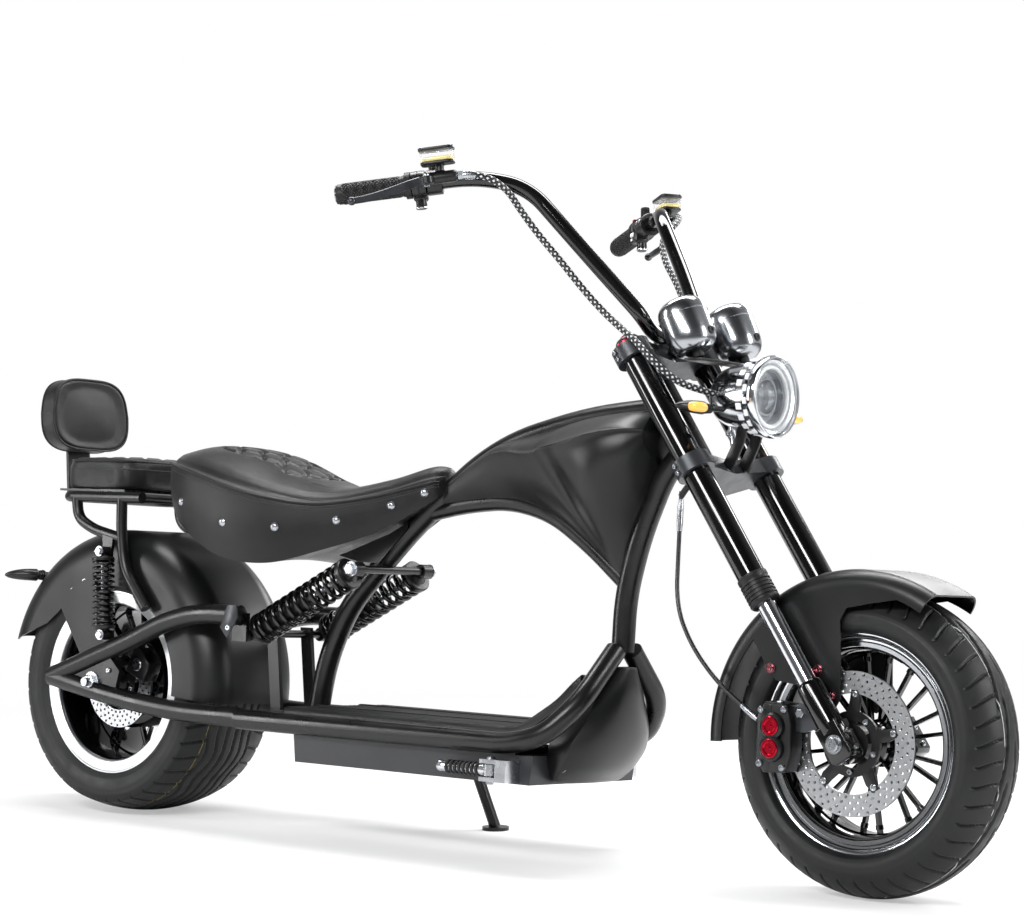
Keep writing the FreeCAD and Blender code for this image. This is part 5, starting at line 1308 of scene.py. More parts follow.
for x, z in ((-138, -38), (-138, 44), (-97, -42), (-97, 46)):
    fittings.append(cap_screw(FRONT_AXLE + Vector((x, -106.4, z)), -Y, 5.2, 5.0))
fittings.append(hex_nut(FRONT_AXLE + Vector((-109, -98, 52)), Z, 7.0, 6.0))
for x, z in ((-77, 41), (-40, 47)):
    fittings.append(hex_nut(FRONT_AXLE + Vector((x, -92.2, z)), -Y, 7.5, 5.0))
piece("caliper_fittings", fittings, "bolt_steel", "steering")
bracket = slab(from_axle([(-91, 14), (-91, 48), (-80, 56), (-36, 64), (-24, 60), (-19, 48), (-19, 32), (-32, 26),
                          (-70, 12)]), 6, standing(-89), 1.0)
piece("caliper_bracket", [bracket], "cast_grey", "steering")


# Cords: each follows its route's own spline

def route(name, points):
    """Points of a smooth spline whose control points are the route's, in upright millimetres."""
    curve = bpy.data.curves.new(name + "_route", "CURVE")
    curve.dimensions = "3D"
    curve.resolution_u = 24
    spline = curve.splines.new("NURBS")
    spline.points.add(len(points) - 1)
    for held, p in zip(spline.points, points):
        held.co = (*(UPRIGHT @ Vector(p)), 1.0)
    spline.order_u = 3
    spline.use_endpoint_u = True
    holder = bpy.data.objects.new(name + "_route", curve)
    mesh = bpy.data.meshes.new_from_object(holder)
    path = [v.co.copy() for v in mesh.vertices]
    bpy.data.objects.remove(holder)
    bpy.data.meshes.remove(mesh)
    return path




def cord(name, points, radius, finish, replaced, sides=14):
    """A round cord along a route."""
    path = route(name, points)
    run = [BACK @ p for p in path]
    made = piece(name, [sweep(run, ring_section(radius, sides))], finish, "steering", replaces=[replaced])
    return run


BRAKE_HOSE = [(1240, -58, 612), (1242, -62, 520), (1250, -74, 432), (1290, -87, 372), (1342, -95, 322),
              (1390, -98, 288), (1434, -98, 260)]
BRAKE_SLEEVE = [(949, 295, 1100), (978, 276, 1105), (1000, 236, 1086), (998, 196, 1056), (1021, 172, 1015),
                (1056, 160, 976), (1086, 146, 937), (1118, 134, 901), (1156, 130, 870), (1192, 134, 848),
                (1222, 134, 819), (1243, 116, 795), (1262, 86, 776), (1294, 34, 765.84)]
hose_run = cord("brake_hose_line", BRAKE_HOSE, 3.5, "hose_rubber", "brake_hose")
left_run = cord("left_brake_sleeve", BRAKE_SLEEVE, 5.5, "sleeve_braid", "cable_sleeves", sides=18)
right_run = cord("right_brake_sleeve", [(x, -y, z) for x, y, z in BRAKE_SLEEVE], 5.5, "sleeve_braid",
                 "cable_sleeves", sides=18)


def ferrule(run, start, stop, radius):
    """Crimped collar on a cord between two of its points."""
    part_of = run[start:stop]
    count = len(part_of) - 1
    return sweep(part_of, ring_section(radius, 24), taper=lambda t: 0.86 if min(t, 1 - t) * count < 1.5 else 1.0)


collars = [ferrule(left_run, 2, 12, 7.6), ferrule(right_run, 2, 12, 7.6), ferrule(hose_run, -14, -2, 5.0),
           ferrule(hose_run, 2, 12, 5.0)]
piece("cord_collars", collars, "bolt_steel", "steering")

# Headlamp

LAMP_BACK = Vector((1264.0, 0.0, 765.84))
bell = [(0, 0), (0, 16), (1.5, 24), (5, 32), (11, 39), (20, 45), (34, 50), (52, 54), (72, 58), (88, 61.5),
        (96, 63.6), (98, 64.8), (110, 64.8), (112, 64.0), (112, 61.0), (98, 60), (88, 58), (60, 51), (34, 40),
        (24, 26), (22, 0)]
piece("headlamp_bell", [lathe(bell, LAMP_BACK, X, 96)], "chrome", "steering", replaces=["headlamp_shell"])
bowl = [(106, 58.6), (104, 54), (84, 50), (62, 42), (46, 30), (42, 21), (42, 0), (40, 0), (40, 22), (60, 44),
        (84, 52.6), (104, 58.6)]
piece("headlamp_bowl", [lathe(bowl, LAMP_BACK, X, 96)], "reflector", "steering")
ring = [(100 + 3.4 * math.sin(a), 47 + 3.4 * math.cos(a)) for a in (math.radians(k * 45) for k in range(8))]
piece("headlamp_light_ring", [lathe(ring, LAMP_BACK, X, 96, True)], "light_pipe", "steering")
shade = [lathe(rounded_ring(31, 27, 56, 92, 1.0), LAMP_BACK, X, 64, True),
         lathe(rounded_ring(43.0, 41.5, 84, 96, 0.6), LAMP_BACK, X, 72, True)]
piece("projector_shade", shade, "chrome", "steering")
ball = [(60, 0)] + [(70 + 21 * math.sin(a), 26 * math.cos(a)) for a in (math.radians(k) for k in range(-20, 91, 10))]
piece("projector_glass", [lathe(ball, LAMP_BACK, X, 64)], "lamp_lens", "steering")
dome = [(112.3, 60.5), (114.5, 60.8), (117, 57), (120.5, 46), (123.5, 30), (125.4, 12), (125.8, 0), (122.8, 0),
        (122.4, 12), (120.6, 29), (117.6, 44.6), (114.6, 55), (112.3, 57.5)]
piece("headlamp_glass", [lathe(dome, LAMP_BACK, X, 96)], "lamp_lens", "steering",
      replaces=["headlamp_lens"])
windows = []
for row, (along, radius, long) in enumerate(((78, 60.2, 10), (92, 63.4, 7))):
    for column in range(20):
        turn = math.radians(18 * column + (9 if row else 0))
        out = Y * math.cos(turn) + Z * math.sin(turn)
        place = basis(LAMP_BACK + X * along + out * radius, out, X)
        windows.append(block((long, 10.5, 1.8), place, 0.6, 1))
piece("headlamp_windows", windows, "light_pipe", "steering")
rim = [(101, 64.4), (101, 65.6), (103, 66.0), (110, 66.0), (111.6, 65.2), (112.4, 63.5), (111.6, 62.6), (109, 64.4)]
piece("headlamp_rim", [lathe(rim, LAMP_BACK, X, 96, True)], "chrome", "steering")

# Gauges

tilt = math.radians(28)
GAUGE_AXIS = Vector((-math.sin(tilt), 0, math.cos(tilt)))
GAUGE_AHEAD = Vector((math.cos(tilt), 0, math.sin(tilt)))
cup_foot = on_fork(UPPER_CLAMP, 0, 65.0) + Vector((102, 0, -6 + 18 * math.sin(tilt) + 0.3))
cup = [(0, 0), (0, 16), (0.8, 22), (3, 27.5), (7, 32.5), (13, 36.4), (20, 38.6), (28, 39.6), (66, 39.8), (74, 39.2),
       (80, 37.4), (84.5, 34.6), (87, 31.4), (87.6, 29), (86, 28), (82, 28), (82, 0)]
piece("gauge_cups", both([lathe(cup, cup_foot, GAUGE_AXIS, 72)]), "smoked_chrome", "steering", replaces=["gauge_pods"])
seams = [lathe([(62, 39.6), (62.4, 40.5), (64.6, 40.5), (65, 39.6)], cup_foot, GAUGE_AXIS, 72, True),
         lathe([(86.2, 27.4), (87.8, 28.0), (88.0, 30.0), (86.6, 31.8), (85.2, 30)], cup_foot, GAUGE_AXIS, 72, True)]
piece("gauge_rims", both(seams), "chrome", "steering")
faces = [lathe([(82.1, 0), (82.1, 27.6), (83.4, 27.6), (84.2, 0)], cup_foot, GAUGE_AXIS, 64)]
piece("gauge_faces", both(faces), "dial_face", "steering")
marks = []
for mark in range(31):
    turn = math.radians(-135 + 270 * mark / 30)
    out = GAUGE_AHEAD * math.cos(turn) + Y * math.sin(turn)
    long = 5.0 if mark % 5 == 0 else 2.6
    at = cup_foot + GAUGE_AXIS * 83.9 + out * (25.5 - long / 2)
    marks.append(block((long, 0.8 if mark % 5 else 1.3, 0.3), basis(at, GAUGE_AXIS, out), 0))
needle = slab([(-6, -1.4), (19, -0.4), (19, 0.4), (-6, 1.4)], 0.6,
              basis(cup_foot + GAUGE_AXIS * 84.7, GAUGE_AXIS, GAUGE_AHEAD * -0.6 + Y * -0.8), 0)
piece("gauge_marks", both(marks + [needle]), "light_pipe", "steering")
grommets = [lathe([(0, 0), (0, 7), (2, 7.4), (3.2, 6.2), (3.2, 3), (2, 2.6), (2, 0)],
                  cup_foot + GAUGE_AXIS * 21 + GAUGE_AHEAD * 37.2, GAUGE_AHEAD * 0.94 - GAUGE_AXIS * 0.34, 32)]
grommets.append(lathe([(-9, 0), (-9, 8), (-7, 9), (0, 9), (0, 0)], cup_foot, GAUGE_AXIS, 32))
piece("gauge_grommets", both(grommets), "grip_rubber", "steering")

# Front indicators, each a teardrop that reaches outward with its lens ahead, and the lamp's pivot barrel

def drop(points, high, deep, step=3.0, blunt=False):
    """Rounded body along a run: slender at its far end, or alike at both ends where blunt."""
    section = [(high * math.cos(a), deep * math.sin(a)) for a in (math.radians(k * 20) for k in range(18))]
    return sweep(smooth_run(points, step), section, across=Z,
                 taper=lambda t: math.sqrt(max(0.04, 1 - abs(2 * t - 1) ** 4)) if blunt else
                 max(0.12, min(1.0, 0.45 + 7 * t)) * math.sqrt(max(0.03, 1 - t ** 2.6)))


shells = [drop([(1311, 106, 741), (1312, 140, 741), (1308, 178, 741)], 10.5, 12.0),
          tube([(1304, 30, 744), (1306, 70, 742.5), (1309, 100, 741)], 4.6)]
shells += [lathe(rounded_ring(8.4 - 0.5 * k, 3, 2 + 5 * k, 5 + 5 * k, 0.8), (1309, 102, 741), -Y, 28, True)
           for k in range(3)]
lenses = [drop([(1319.5, 112, 741), (1320.5, 136, 741), (1318, 160, 741)], 8.0, 8.0, 2.0, True)]
piece("front_indicator_shells", both(shells), "switch_plastic", "steering", replaces=["front_indicators"])
piece("front_indicator_lenses", both(lenses), "amber_lens", "steering")
barrel = lathe([(0, 0), (0, 9), (1.5, 10.8), (36, 10.8), (38, 9.4), (38, 5), (44, 5), (44, 0)], (1297, 0, 724),
               (0.2, 0, -1), 40)
studs = [cap_screw((1301, out * 18, 707), Y * out, 5.5, 5) for out in (-1, 1)]
piece("lamp_pivot_barrel", [barrel] + studs, "peg_alloy", "steering")

# Handlebar controls, laid out for the left grip by distance along the bar, ahead of it and above it

BAR_END = Vector((770.0, 378.0, 1067.0))
BAR_INWARD = (Vector((952.0, 257.0, 1102.0)) - BAR_END).normalized()
BAR_AHEAD = Z.cross(BAR_INWARD).normalized()
BAR_ABOVE = BAR_INWARD.cross(BAR_AHEAD).normalized()
SWITCH, PERCH = 130.8, 143.6


def on_bar(along, ahead=0.0, above=0.0):
    return BAR_END + BAR_INWARD * along + BAR_AHEAD * ahead + BAR_ABOVE * above


def bar_place(along, ahead=0.0, above=0.0):
    """Placing matrix with X along the bar, Y ahead of it and Z above it."""
    return basis(on_bar(along, ahead, above), BAR_ABOVE, BAR_INWARD)


def grip():
    """Moulded grip with a diamond knurl between smooth bands and an inner flange."""
    rows, steps = 96, 112
    points = []
    lengths = [-4 + 122 * k / (rows - 1) for k in range(rows)]
    place = basis(on_bar(0), BAR_INWARD, BAR_ABOVE)
    for along in lengths:
        band = min(1.0, max(0.0, min(along - 6, 102 - along) / 2))
        for k in range(steps):
            turn = 2 * math.pi * k / steps
            a = (along / 5.6 + 14 * turn / math.pi / 2) % 1.0
            b = (along / 5.6 - 14 * turn / math.pi / 2) % 1.0
            ridge = min(abs(a - 0.5), abs(b - 0.5)) * 2
            radius = 16.4 + band * (0.9 if ridge > 0.34 else -0.3)
            if along > 108:
                radius = 21.6
            elif along > 104:
                radius = 17.4
            elif along < -1:
                radius = 15.0
            points.append(place @ Vector((radius * math.cos(turn), radius * math.sin(turn), along)))
    faces = strip_faces(rows, steps, False, True)
    faces += [tuple(reversed(range(steps))), tuple(range((rows - 1) * steps, rows * steps))]
    return part(points, faces)


piece("grip_sleeves", both([grip()]), "grip_rubber", "steering", sharp=50, replaces=["grips"])
pod = [(0, 13), (0, 18), (1.5, 21), (11.4, 21.8), (12, 20.8), (13, 20.8), (13.6, 21.8), (23.5, 21), (25, 18), (25, 13)]
pod = lathe(pod, on_bar(118.3), BAR_INWARD, 48, True)
belly = block((23, 26, 24), bar_place(SWITCH, -8, -15), 5.0, 3)
piece("switch_housings", both([pod, belly]), "switch_plastic", "steering", replaces=["switch_pods"])
keys = [block((12, 5, 7), bar_place(SWITCH, -21.5, -12), 1.6), block((7, 6, 4), bar_place(126.8, -20, -20), 1.2)]
red_key = [block((9, 7, 5), bar_place(SWITCH, -16.5, 14), 1.6)]
piece("switch_keys", both(keys), "light_pipe", "steering")
piece("switch_red_keys", both(red_key), "red_lens", "steering")

perch = [lathe([(0, 12.8), (0, 19), (1.5, 20.5), (23.5, 20.5), (25, 19), (25, 12.8)], on_bar(PERCH), BAR_INWARD, 48,
               True)]
perch.append(lathe([(0, 0), (0, 8.6), (1.4, 10), (50, 10), (53, 9), (56, 6), (56, 0)], on_bar(PERCH - 2, 30, 2),
                   BAR_INWARD, 36))
perch.append(block((19, 24, 14), bar_place(PERCH + 12, 22, 0), 2.5, 3))
perch.append(lathe([(0, 0), (0, 11), (1.2, 12), (11, 12), (12.2, 11), (12.2, 0)], on_bar(PERCH + 4, 38, -7), BAR_ABOVE,
                   36))
perch.append(lathe([(0, 0), (0, 9), (6, 8.4), (30, 8), (32, 7), (32, 4.2), (20, 4.0), (20, 0)],
                   on_bar(PERCH + 12.5, -6, 0), BAR_ABOVE, 32))
piece("lever_perches", both(perch), "cast_black", "steering", replaces=["brake_controls"])
line = [on_bar(PERCH + 6, 40, -1.5), on_bar(PERCH - 10, 50, -4), on_bar(PERCH - 30, 58, -9),
        on_bar(PERCH - 60, 56, -15), on_bar(PERCH - 92, 50, -19), on_bar(PERCH - 118, 48, -20)]
flat = [(-6.8, -2.0), (-6.0, -3.2), (6.0, -3.2), (6.8, -2.0), (6.8, 2.0), (6.0, 3.2), (-6.0, 3.2), (-6.8, 2.0)]
blade = sweep(smooth_run(line, 4), flat, across=BAR_ABOVE, taper=lambda t: 1.12 - 0.34 * t)
end_ball = lathe([(7 * math.cos(a), 7 * math.sin(a)) for a in (math.radians(k * 20) for k in range(10))],
                 line[-1], BAR_ABOVE, 24)
piece("lever_blades", both([blade, end_ball]), "lever_grey", "steering")
silver = [cap_screw(on_bar(PERCH + 4, 38, 5), BAR_ABOVE, 5.6, 4.5),
          hex_nut(on_bar(PERCH + 4, 38, -7), -BAR_ABOVE, 6, 4),
          cap_screw(on_bar(PERCH + 6, -18.5, 5), BAR_ABOVE * 0.2 - BAR_AHEAD, 3.2, 3.4),
          cap_screw(on_bar(PERCH + 19, -18.5, 5), BAR_ABOVE * 0.2 - BAR_AHEAD, 3.2, 3.4),
          hex_nut(on_bar(PERCH + 54, 30, 2), BAR_INWARD, 7.4, 9)]
for along in (1, 47):
    for ahead in (17, 45):
        silver.append(cap_screw(on_bar(PERCH + along, ahead, 49.6), BAR_ABOVE, 2.6, 1.6))
piece("control_screws", both(silver), "bolt_steel", "steering")


def rounded_box(long, wide, low, high, edge):
    """Upright tub with round corners: outline, then a slab from low to high."""
    outline = []
    for sx, sy, start in ((1, 1, 0), (-1, 1, 90), (-1, -1, 180), (1, -1, 270)):
        for k in range(5):
            a = math.radians(start + 22.5 * k)
            outline.append((sx * (long / 2 - edge) + edge * math.cos(a), sy * (wide / 2 - edge) + edge * math.sin(a)))
    return slab(outline, high - low, bar_place(PERCH + 24, 31, (low + high) / 2), 0.8)


piece("reservoir_caps", both([rounded_box(57, 39, 45.5, 50, 8), rounded_box(54, 36, 23, 27, 8),
                              lathe([(12.5, 0), (12.5, 8), (24.5, 8), (24.5, 0)], on_bar(PERCH + 26, 30),
                                    BAR_ABOVE, 32)]),
      "switch_plastic", "steering", replaces=["reservoirs"])
piece("reservoir_cups", both([rounded_box(54, 36, 27, 45.4, 8)]), "reservoir_plastic", "steering")
piece("reservoir_fluid", both([rounded_box(49, 31, 28, 34.5, 6)]), "fluid", "steering")

# Slim lamp plates, the gauge shelf, the hose's union on the clamp, and what hangs from the switches

slim = slab([(1294, 656), (1312, 646), (1332, 690), (1340, 722), (1322, 722), (1316, 700)], 5, standing(22.5), 0.8)
arm = slab([(1166, 838), (1242, 818.4), (1284, 818.4), (1284, 823.2), (1244, 823.2), (1170, 846)], 28, standing(), 0.8)
shelf = slab([(1250, 818.3), (1283.5, 818.3), (1283.5, 823.2), (1250, 823.2)], 160, standing(), 1.2)
piece("lamp_brackets", both([slim]) + [arm, shelf], "cast_black", "steering", replaces=["front_bracket"])
piece("hose_union", [tube([(1240, -58, 604), (1250, -57, 618), (1264, -55, 634)], 5.2)], "cast_black", "steering")
hung = lathe([(0, 0), (0, 8.5), (20, 9), (22, 8), (22, 0)], on_bar(SWITCH, -4, -18), -BAR_ABOVE, 32)
piece("switch_stubs", both([hung]), "switch_plastic", "steering")
ends = [lathe(rounded_ring(9.6, 7, 18, 21.5, 0.8), on_bar(SWITCH, -4, -18), -BAR_ABOVE, 32, True),
        lathe([(-6, 0), (-6, 11), (-4.5, 13), (-4, 13), (-4, 0)], on_bar(0), BAR_INWARD, 32)]
piece("bar_end_caps", both(ends), "peg_alloy", "steering")

for node in ("upper_clamp", "lower_clamp"):
    frame["nodes"][node].data.materials[0] = finishes["cast_grey"]


# Springs: helical coils over dampers, with eyes, bushes and bolts

def coil(start, end, radius, wire, turns, closed_ends=0.85):
    """Round wire wound about a line, its end turns lying close together."""
    place = basis(start, Vector(end) - Vector(start))
    length = (Vector(end) - Vector(start)).length
    steps = int(turns * 26)
    low, high = wire * 1.9 * closed_ends, length - wire * 1.9 * closed_ends
    run = []
    for k in range(steps + 1):
        u = k / steps * turns
        if u < closed_ends:
            along = low * u / closed_ends
        elif u > turns - closed_ends:
            along = length - low * (turns - u) / closed_ends
        else:
            along = low + (high - low) * (u - closed_ends) / (turns - 2 * closed_ends)
        turn = 2 * math.pi * u
        run.append(place @ Vector((radius * math.cos(turn), radius * math.sin(turn), along)))
    return sweep(run, ring_section(wire, 10))


def spring_unit(top, bottom, side, radius, eye, turns, wire):
    """Coil, black damper parts and bright parts of one spring unit on the left."""
    start, end = Vector((bottom[0], side, bottom[1])), Vector((top[0], side, top[1]))
    axis = (end - start).normalized()
    length = (end - start).length
    first, last = 1.5 * eye, length - 1.5 * eye
    wound = coil(start + axis * (first + 4), start + axis * (last - 4), radius - wire, wire, turns)
    black = [lathe([(eye * 0.6, 0), (eye * 0.6, eye * 0.75), (first - 2, radius * 0.55), (first - 2, radius - 1),
                    (first, radius), (first + 4, radius), (first + 4, radius * 0.66), (first + 9, radius * 0.58),
                    (length * 0.52, radius * 0.58), (length * 0.54, radius * 0.5),
                    (length * 0.54, 0)], start, axis, 48),
             lathe([(length - eye * 0.6, 0), (length - eye * 0.6, eye * 0.75), (last + 3, radius * 0.6),
                    (last + 3, radius - 2), (last + 1.5, radius), (last - 3, radius), (last - 3, radius * 0.6),
                    (last - 10, radius * 0.45), (last - 10, 0)], start, axis, 48)]
    for p in (start, end):
        black.append(lathe(rounded_ring(eye, eye * 0.62, -eye, eye, 1.2), p, Y, 36, True))
    bright = [lathe([(length * 0.53, 0), (length * 0.53, radius * 0.2), (last - 6, radius * 0.2), (last - 6, 0)], start,
                    axis, 24)]
    return wound, black, bright


coils, dampers, rods = [], [], []
for top, bottom, side, radius, eye, turns, wire in (
        ((586.0, 466.0), (353.0, 344.0), 90.0, 29.0, 12.5, 12.5, 4.3),
        ((20.0, 478.0), (32.0, 326.0), 151.0, 21.0, 9.0, 12.0, 2.9)):
    wound, black, bright = spring_unit(top, bottom, side, radius, eye, turns, wire)
    coils.append(wound)
    dampers += black
    rods += bright
piece("spring_coils", both(coils), "spring_black", "frame", sharp=60, replaces=["main_springs", "small_springs"])
piece("spring_dampers", both(dampers), "cast_black", "frame")
nuts = [hex_nut((586, 103.4, 466), Y, 11, 8), lathe([(0, 0), (0, 13), (2, 13), (2, 0)], (586, 102.6, 466), Y, 32),
        hex_nut((20, 160.6, 478), Y, 7.5, 5.5), hex_nut((32, 160.6, 326), Y, 7.5, 5.5),
        lathe([(0, 0), (0, 9.4), (1.4, 9.4), (1.4, 0)], (20, 160.1, 478), Y, 28),
        lathe([(0, 0), (0, 9.4), (1.4, 9.4), (1.4, 0)], (32, 160.1, 326), Y, 28)]
piece("spring_bolts", both(nuts + rods), "bolt_steel", "frame")

# Rear axle nuts with their washers, and the screws that show on the frame

ends = [lathe([(0, 0), (0, 19), (2.4, 19), (2.4, 0)], (0, 145.2, REAR_AXLE.z), Y, 40),
        hex_nut((0, 147.6, REAR_AXLE.z), Y, 14, 9),
        lathe([(0, 0), (0, 7.6), (8, 7.6), (9.4, 6), (9.4, 0)], (0, 156.6, REAR_AXLE.z), Y, 28)]
piece("rear_axle_nuts", both(ends), "bolt_steel", "frame")
screws = [cap_screw((x, 117.4, z), Y, 5.4, 4.0, washer=8.0) for x, z in ((-92, 400), (-60, 418))]
screws += [cap_screw((x, 145.2, z), Y, 4.6, 4.0) for x, z in ((44, 262), (-38, 240))]
screws += [cap_screw((x, 142.2, z), Y, 3.6, 2.6) for x, z in ((486, 186), (978, 186))]
screws += [cap_screw((1052, 93.5, 160), Y * 0.94 + X * 0.34, 5.0, 3.6, washer=7.4),
           cap_screw((1062, 87.5, 218), Y * 0.9 + X * 0.44, 5.0, 3.6, washer=7.4)]
piece("frame_screws", both(screws), "bolt_steel", "frame")

# Rubber floor mat with two long ribs and fine grooves, over the floor board and its kick panel

def mat():
    """Ribbed mat that follows the floor board and its kick panel, drawn in from their edges."""
    stations = [(456, 210, 128), (462, 221, 130), (470, 223, 131), (700, 223, 131), (930, 223, 131), (966, 224, 130),
                (984, 229, 124), (1004, 247, 108), (1026, 269, 91), (1044, 295, 76), (1056, 311, 65), (1060, 309, 62)]
    run = smooth_run([(x, 0, z) for x, z, _ in stations], 9)
    along = run_lengths(run)
    rows = []
    columns = 132
    for k, p in enumerate(run):
        after, before = run[min(k + 1, len(run) - 1)], run[max(k - 1, 0)]
        up = (after - before).normalized().cross(-Y)
        if up.z < 0 or up.x > 0.2:
            up = -up
        half = float(np.interp(p.x, [s[0] for s in stations], [s[2] for s in stations]))
        row = []
        for j in range(columns + 1):
            y = -half + 2 * half * j / columns
            side = half - abs(y)
            rib = 0.0
            if side > 12 and 26 < along[k] < along[-1] - 24:
                beat = (abs(y) / 11.0) % 1.0
                rib = 1.3 if 0.18 < beat < 0.62 else 0.0
                if abs(abs(y) - 58) < 5:
                    rib = 3.2
            fall = 9 * (1 - min(1.0, side / 9)) ** 2
            row.append(p + up * (rib - fall) + Y * y)
        low = Z * -14 if p.x < 990 else X * 10 - Z * 5
        row = [row[0] + low * 0.9] + row + [row[-1] + low * 0.9]
        rows.append(row)
    points = [q for row in rows for q in row]
    faces = strip_faces(len(rows), columns + 3, False, True)
    ends = [tuple(range(columns + 3)), tuple(reversed(range((len(rows) - 1) * (columns + 3), len(points))))]
    return part(points, faces + ends)


piece("floor_mat", [mat()], "mat_rubber", "frame", sharp=40, replaces=["deck_mat"])

# Tail lamp, rear indicators and the brake parts on the rear wheel's right

lamp_plate = slab([(-298, 332), (-250, 332), (-226, 386), (-281, 382)], 88, standing(), 5.0, 3)
glass = slab([(-303, 338), (-292, 336), (-278, 377), (-287, 377)], 74, standing(), 2.6, 3)
piece("tail_lamp_base", [lamp_plate], "switch_plastic", "frame", replaces=["tail_lamp"])
ribs = [slab([(-304.5 + 22 * t, 338 + 38 * t), (-302 + 22 * t, 338 + 38 * t), (-301 + 22 * t, 340.4 + 38 * t),
              (-303.4 + 22 * t, 340.4 + 38 * t)], 70, standing(), 0.5, 1) for t in (0.05 + 0.1 * k for k in range(9))]
piece("tail_lamp_lens", [glass] + ribs, "red_lens", "frame")
hold = Vector((-235, 0, 427.66))
bodies = [drop([hold + Y * 74 + X * 2, hold + Vector((-14, 96, 0)), hold + Vector((-44, 120, -2))], 11.5, 12.5),
          tube([hold, hold + Y * 40, hold + Y * 76], 6.5)]
bodies += [lathe(rounded_ring(10 - 0.6 * k, 4, 3 + 5.4 * k, 6.4 + 5.4 * k, 0.8), hold + Y * 60, Y, 28, True)
           for k in range(3)]
lenses = [drop([hold + Vector((-6, 84, 0)), hold + Vector((-22, 103, 0)), hold + Vector((-46, 118, -2))], 9.0, 9.6)]
tongue = slab([(-239, 423.6), (-173, 423.6), (-173, 431.6), (-239, 431.6)], 28, standing(), 1.5)
piece("rear_indicator_shells", both(bodies) + [tongue], "switch_plastic", "frame",
      replaces=["rear_indicators"])
piece("rear_indicator_lenses", both(lenses), "amber_lens", "frame")

outline = [(40, 261.7), (86, 241.7), (96, 262), (100, 276), (84, 296), (62, 311.7)]
halves = [slab(outline, 21.5, standing(-90.2), 3.0, 3), slab(outline, 5.4, standing(-70.2), 1.2)]
halves.append(slab([(84, 244), (97, 262), (100, 276), (84, 296), (70, 306), (84, 276)], 32, standing(-84.6), 2.0))
piece("rear_caliper_halves", halves, "cast_black", "frame", replaces=["rear_caliper"])
caps = [lathe([(0, 0), (0, 11.5), (1.4, 11.8), (2.6, 10.6), (2.6, 0)], (70, -100.8, 274), -Y, 40)]
piece("rear_piston_cap", caps, "bolt_steel", "frame")

# Capped ends of the swingarm's upper tubes, with their grey straps

tips = [lathe([(0, 0), (0, 17.6), (2, 17.6), (4.5, 14), (5.5, 0)], (362, 140, 376), X, 40)]
piece("arm_end_caps", both(tips), "frame_paint", "frame")
strap = slab([(334, 354), (352, 336), (376, 372), (372, 394), (350, 394)], 3, standing(159.2), 0.8)
piece("arm_straps", both([strap]), "cast_grey", "frame")
piece("arm_strap_screws", both([cap_screw((356, 160.7, 354), Y, 5, 4)]), "bolt_steel", "frame")

# Folding foot pegs with rubber rings, and their pins

PEG_HINGE = Vector((962, 166, 152))


def peg(side):
    """Alloy bar with a ball end and an eye round the hinge pin."""
    hinge = Vector((PEG_HINGE.x, side * PEG_HINGE.y, PEG_HINGE.z))
    bar = [(6, 0), (6, 8), (12, 9), (96, 9), (100, 8.4), (104, 9.4), (108, 8), (108, 0)]
    parts = [lathe(bar, hinge, -X, 40)]
    parts.append(lathe([(-10, 4.3), (-10, 9.6), (-8.6, 11), (8.6, 11), (10, 9.6), (10, 4.3)], hinge, Z, 40, True))
    rings = [lathe(rounded_ring(11.2, 8.8, 20 + 9 * k, 26 + 9 * k, 1.0), hinge, -X, 36, True) for k in range(8)]
    return parts, rings


for name, side in (("left", 1), ("right", -1)):
    parts, rings = peg(side)
    body = "peg_" + name + "_fold"
    piece(name + "_peg_bar", parts, "peg_alloy", body, replaces=["peg_" + name])
    piece(name + "_peg_rings", rings, "grip_rubber", body)
pins = [lathe([(0, 0), (0, 6.5), (2, 7), (4, 6), (5, 3), (5, 0)], PEG_HINGE + Z * 18, Z, 28),
        hex_nut(PEG_HINGE - Z * 18, -Z, 7, 5)]
piece("peg_pins", both(pins), "bolt_steel", "frame")


# Studio: the photograph's camera in metres, degrees and millimetres, and how the floor fades to plain white

CAMERA_AT, CAMERA_AIM, CAMERA_ROLL = (3.112, -3.803, 0.729), (0.122, -0.071, 0.659), 0.04
SENSOR, LENS = 36, 100.65
FADE_FROM, FADE_TO, WHITE_SHARE = 0.9, 2.8, 0.42


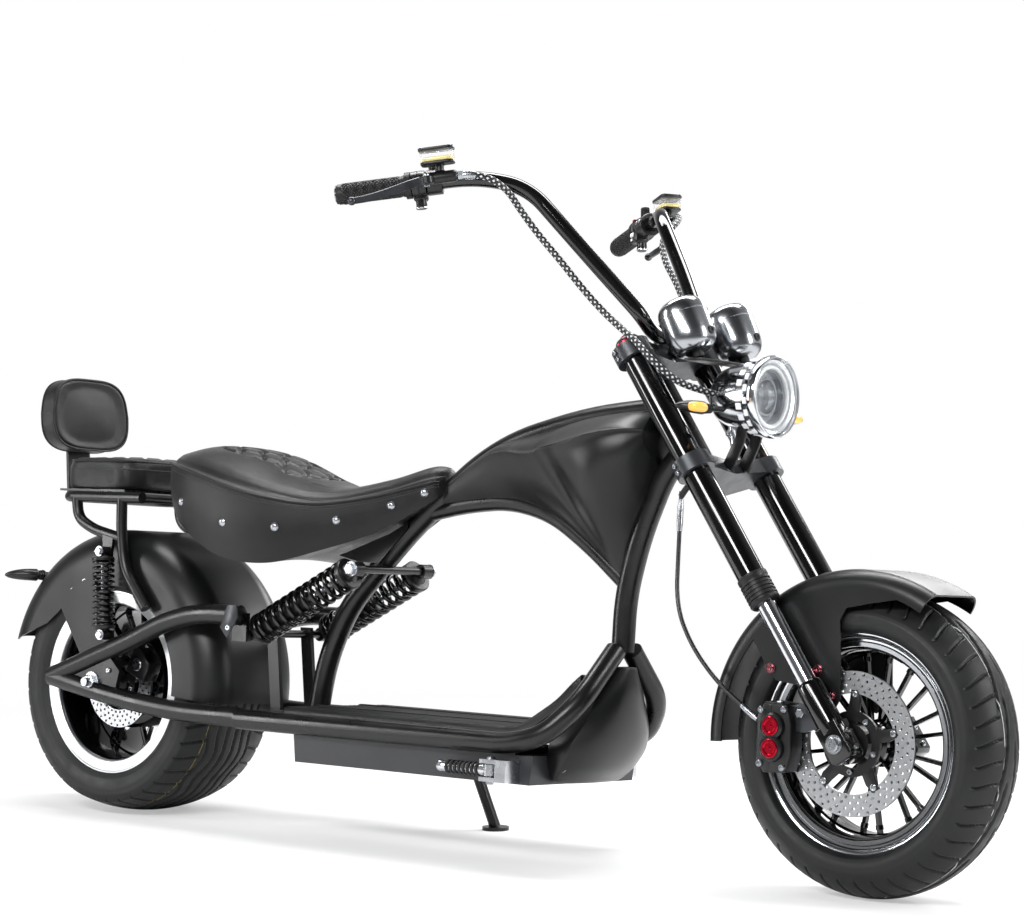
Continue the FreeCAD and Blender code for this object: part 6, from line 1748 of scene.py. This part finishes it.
def studio():
    """Pale floor, white surround, soft lamps and the camera."""
    material, tree = new_finish("studio_floor")
    seen = add(tree, "LightPath").outputs["Is Camera Ray"]
    matt = add(tree, "BsdfDiffuse", {"Color": linear("#F4F4F4")}).outputs[0]
    glow = add(tree, "Emission", {"Color": (1, 1, 1, 1), "Strength": 1.0}).outputs[0]
    place = add(tree, "TexCoord").outputs["Object"]
    away = add(tree, "VectorMath", {0: place}, operation="LENGTH").outputs["Value"]
    share = ramp(tree, away, FADE_FROM, FADE_TO, WHITE_SHARE, 1.0)
    share = add(tree, "Math", {0: seen, 1: share}, operation="MULTIPLY").outputs[0]
    mixed = add(tree, "MixShader", {0: share, 1: matt, 2: glow}).outputs[0]
    add(tree, "OutputMaterial", {"Surface": mixed})
    mesh = bpy.data.meshes.new("floor")
    mesh.from_pydata([(-40, -40, 0), (40, -40, 0), (40, 40, 0), (-40, 40, 0)], [], [(0, 1, 2, 3)])
    floor = linked("floor", mesh)
    mesh.materials.append(material)

    world = bpy.data.worlds.new("surround")
    bpy.context.scene.world = world
    world.use_nodes = True
    tree = world.node_tree
    tree.nodes.clear()
    path = add(tree, "LightPath")
    shown = add(tree, "Math", {0: path.outputs["Is Camera Ray"], 1: path.outputs["Is Transmission Ray"]},
                operation="MAXIMUM").outputs[0]
    toward = add(tree, "SeparateXYZ", {0: add(tree, "TexCoord").outputs["Generated"]})
    behind = ramp(tree, toward.outputs[1], -0.15, 0.35, 0.16, 0.75)
    above = ramp(tree, toward.outputs[2], 0.3, 0.8, 1.0, 0.35)
    seen = add(tree, "Math", {0: behind, 1: above}, operation="MULTIPLY").outputs[0]
    grey = add(tree, "CombineColor", {0: seen, 1: seen, 2: seen}).outputs[0]
    white = add(tree, "Background", {"Color": (1, 1, 1, 1), "Strength": 1.0}).outputs[0]
    mirror = add(tree, "Background", {"Color": grey, "Strength": 1.0}).outputs[0]
    soft = add(tree, "Background", {"Color": linear("#F4F6FA"), "Strength": 0.22}).outputs[0]
    mixed = add(tree, "MixShader", {0: path.outputs["Is Glossy Ray"], 1: soft, 2: mirror}).outputs[0]
    mixed = add(tree, "MixShader", {0: shown, 1: mixed, 2: white}).outputs[0]
    add(tree, "OutputWorld", {"Surface": mixed})

    def softbox(name, at, target, size, watts):
        lamp = bpy.data.lights.new(name, "AREA")
        lamp.shape = "RECTANGLE"
        lamp.size, lamp.size_y = size
        lamp.energy = watts
        holder = linked(name, lamp)
        holder.location = at
        holder.rotation_euler = (Vector(target) - Vector(at)).to_track_quat("-Z", "Y").to_euler()

    softbox("top_softbox", (-0.2, 0.4, 2.6), (0.1, 0, 0.4), (2.6, 0.7), 90)
    softbox("key_strip", (0.6, -3.2, 2.3), (0.1, 0, 0.5), (2.4, 0.5), 110)
    softbox("front_strip", (3.3, 0.6, 1.7), (0.3, 0, 0.5), (0.5, 2.0), 70)
    softbox("left_strip", (-2.6, -2.2, 1.2), (-0.3, 0, 0.4), (0.4, 1.8), 45)
    softbox("rim_strip", (0.4, 2.6, 1.8), (0, 0, 0.6), (2.8, 0.4), 42)

    camera = bpy.data.cameras.new("camera")
    camera.sensor_fit = "HORIZONTAL"
    camera.sensor_width, camera.lens = SENSOR, LENS
    holder = linked("camera", camera)
    holder.location = CAMERA_AT
    aim = Vector(CAMERA_AIM) - holder.location
    roll = Matrix.Rotation(math.radians(CAMERA_ROLL), 3, "Z")
    holder.rotation_euler = (aim.to_track_quat("-Z", "Y").to_matrix() @ roll).to_euler()
    bpy.context.scene.camera = holder
    bpy.context.scene.view_settings.view_transform = "Standard"


studio()
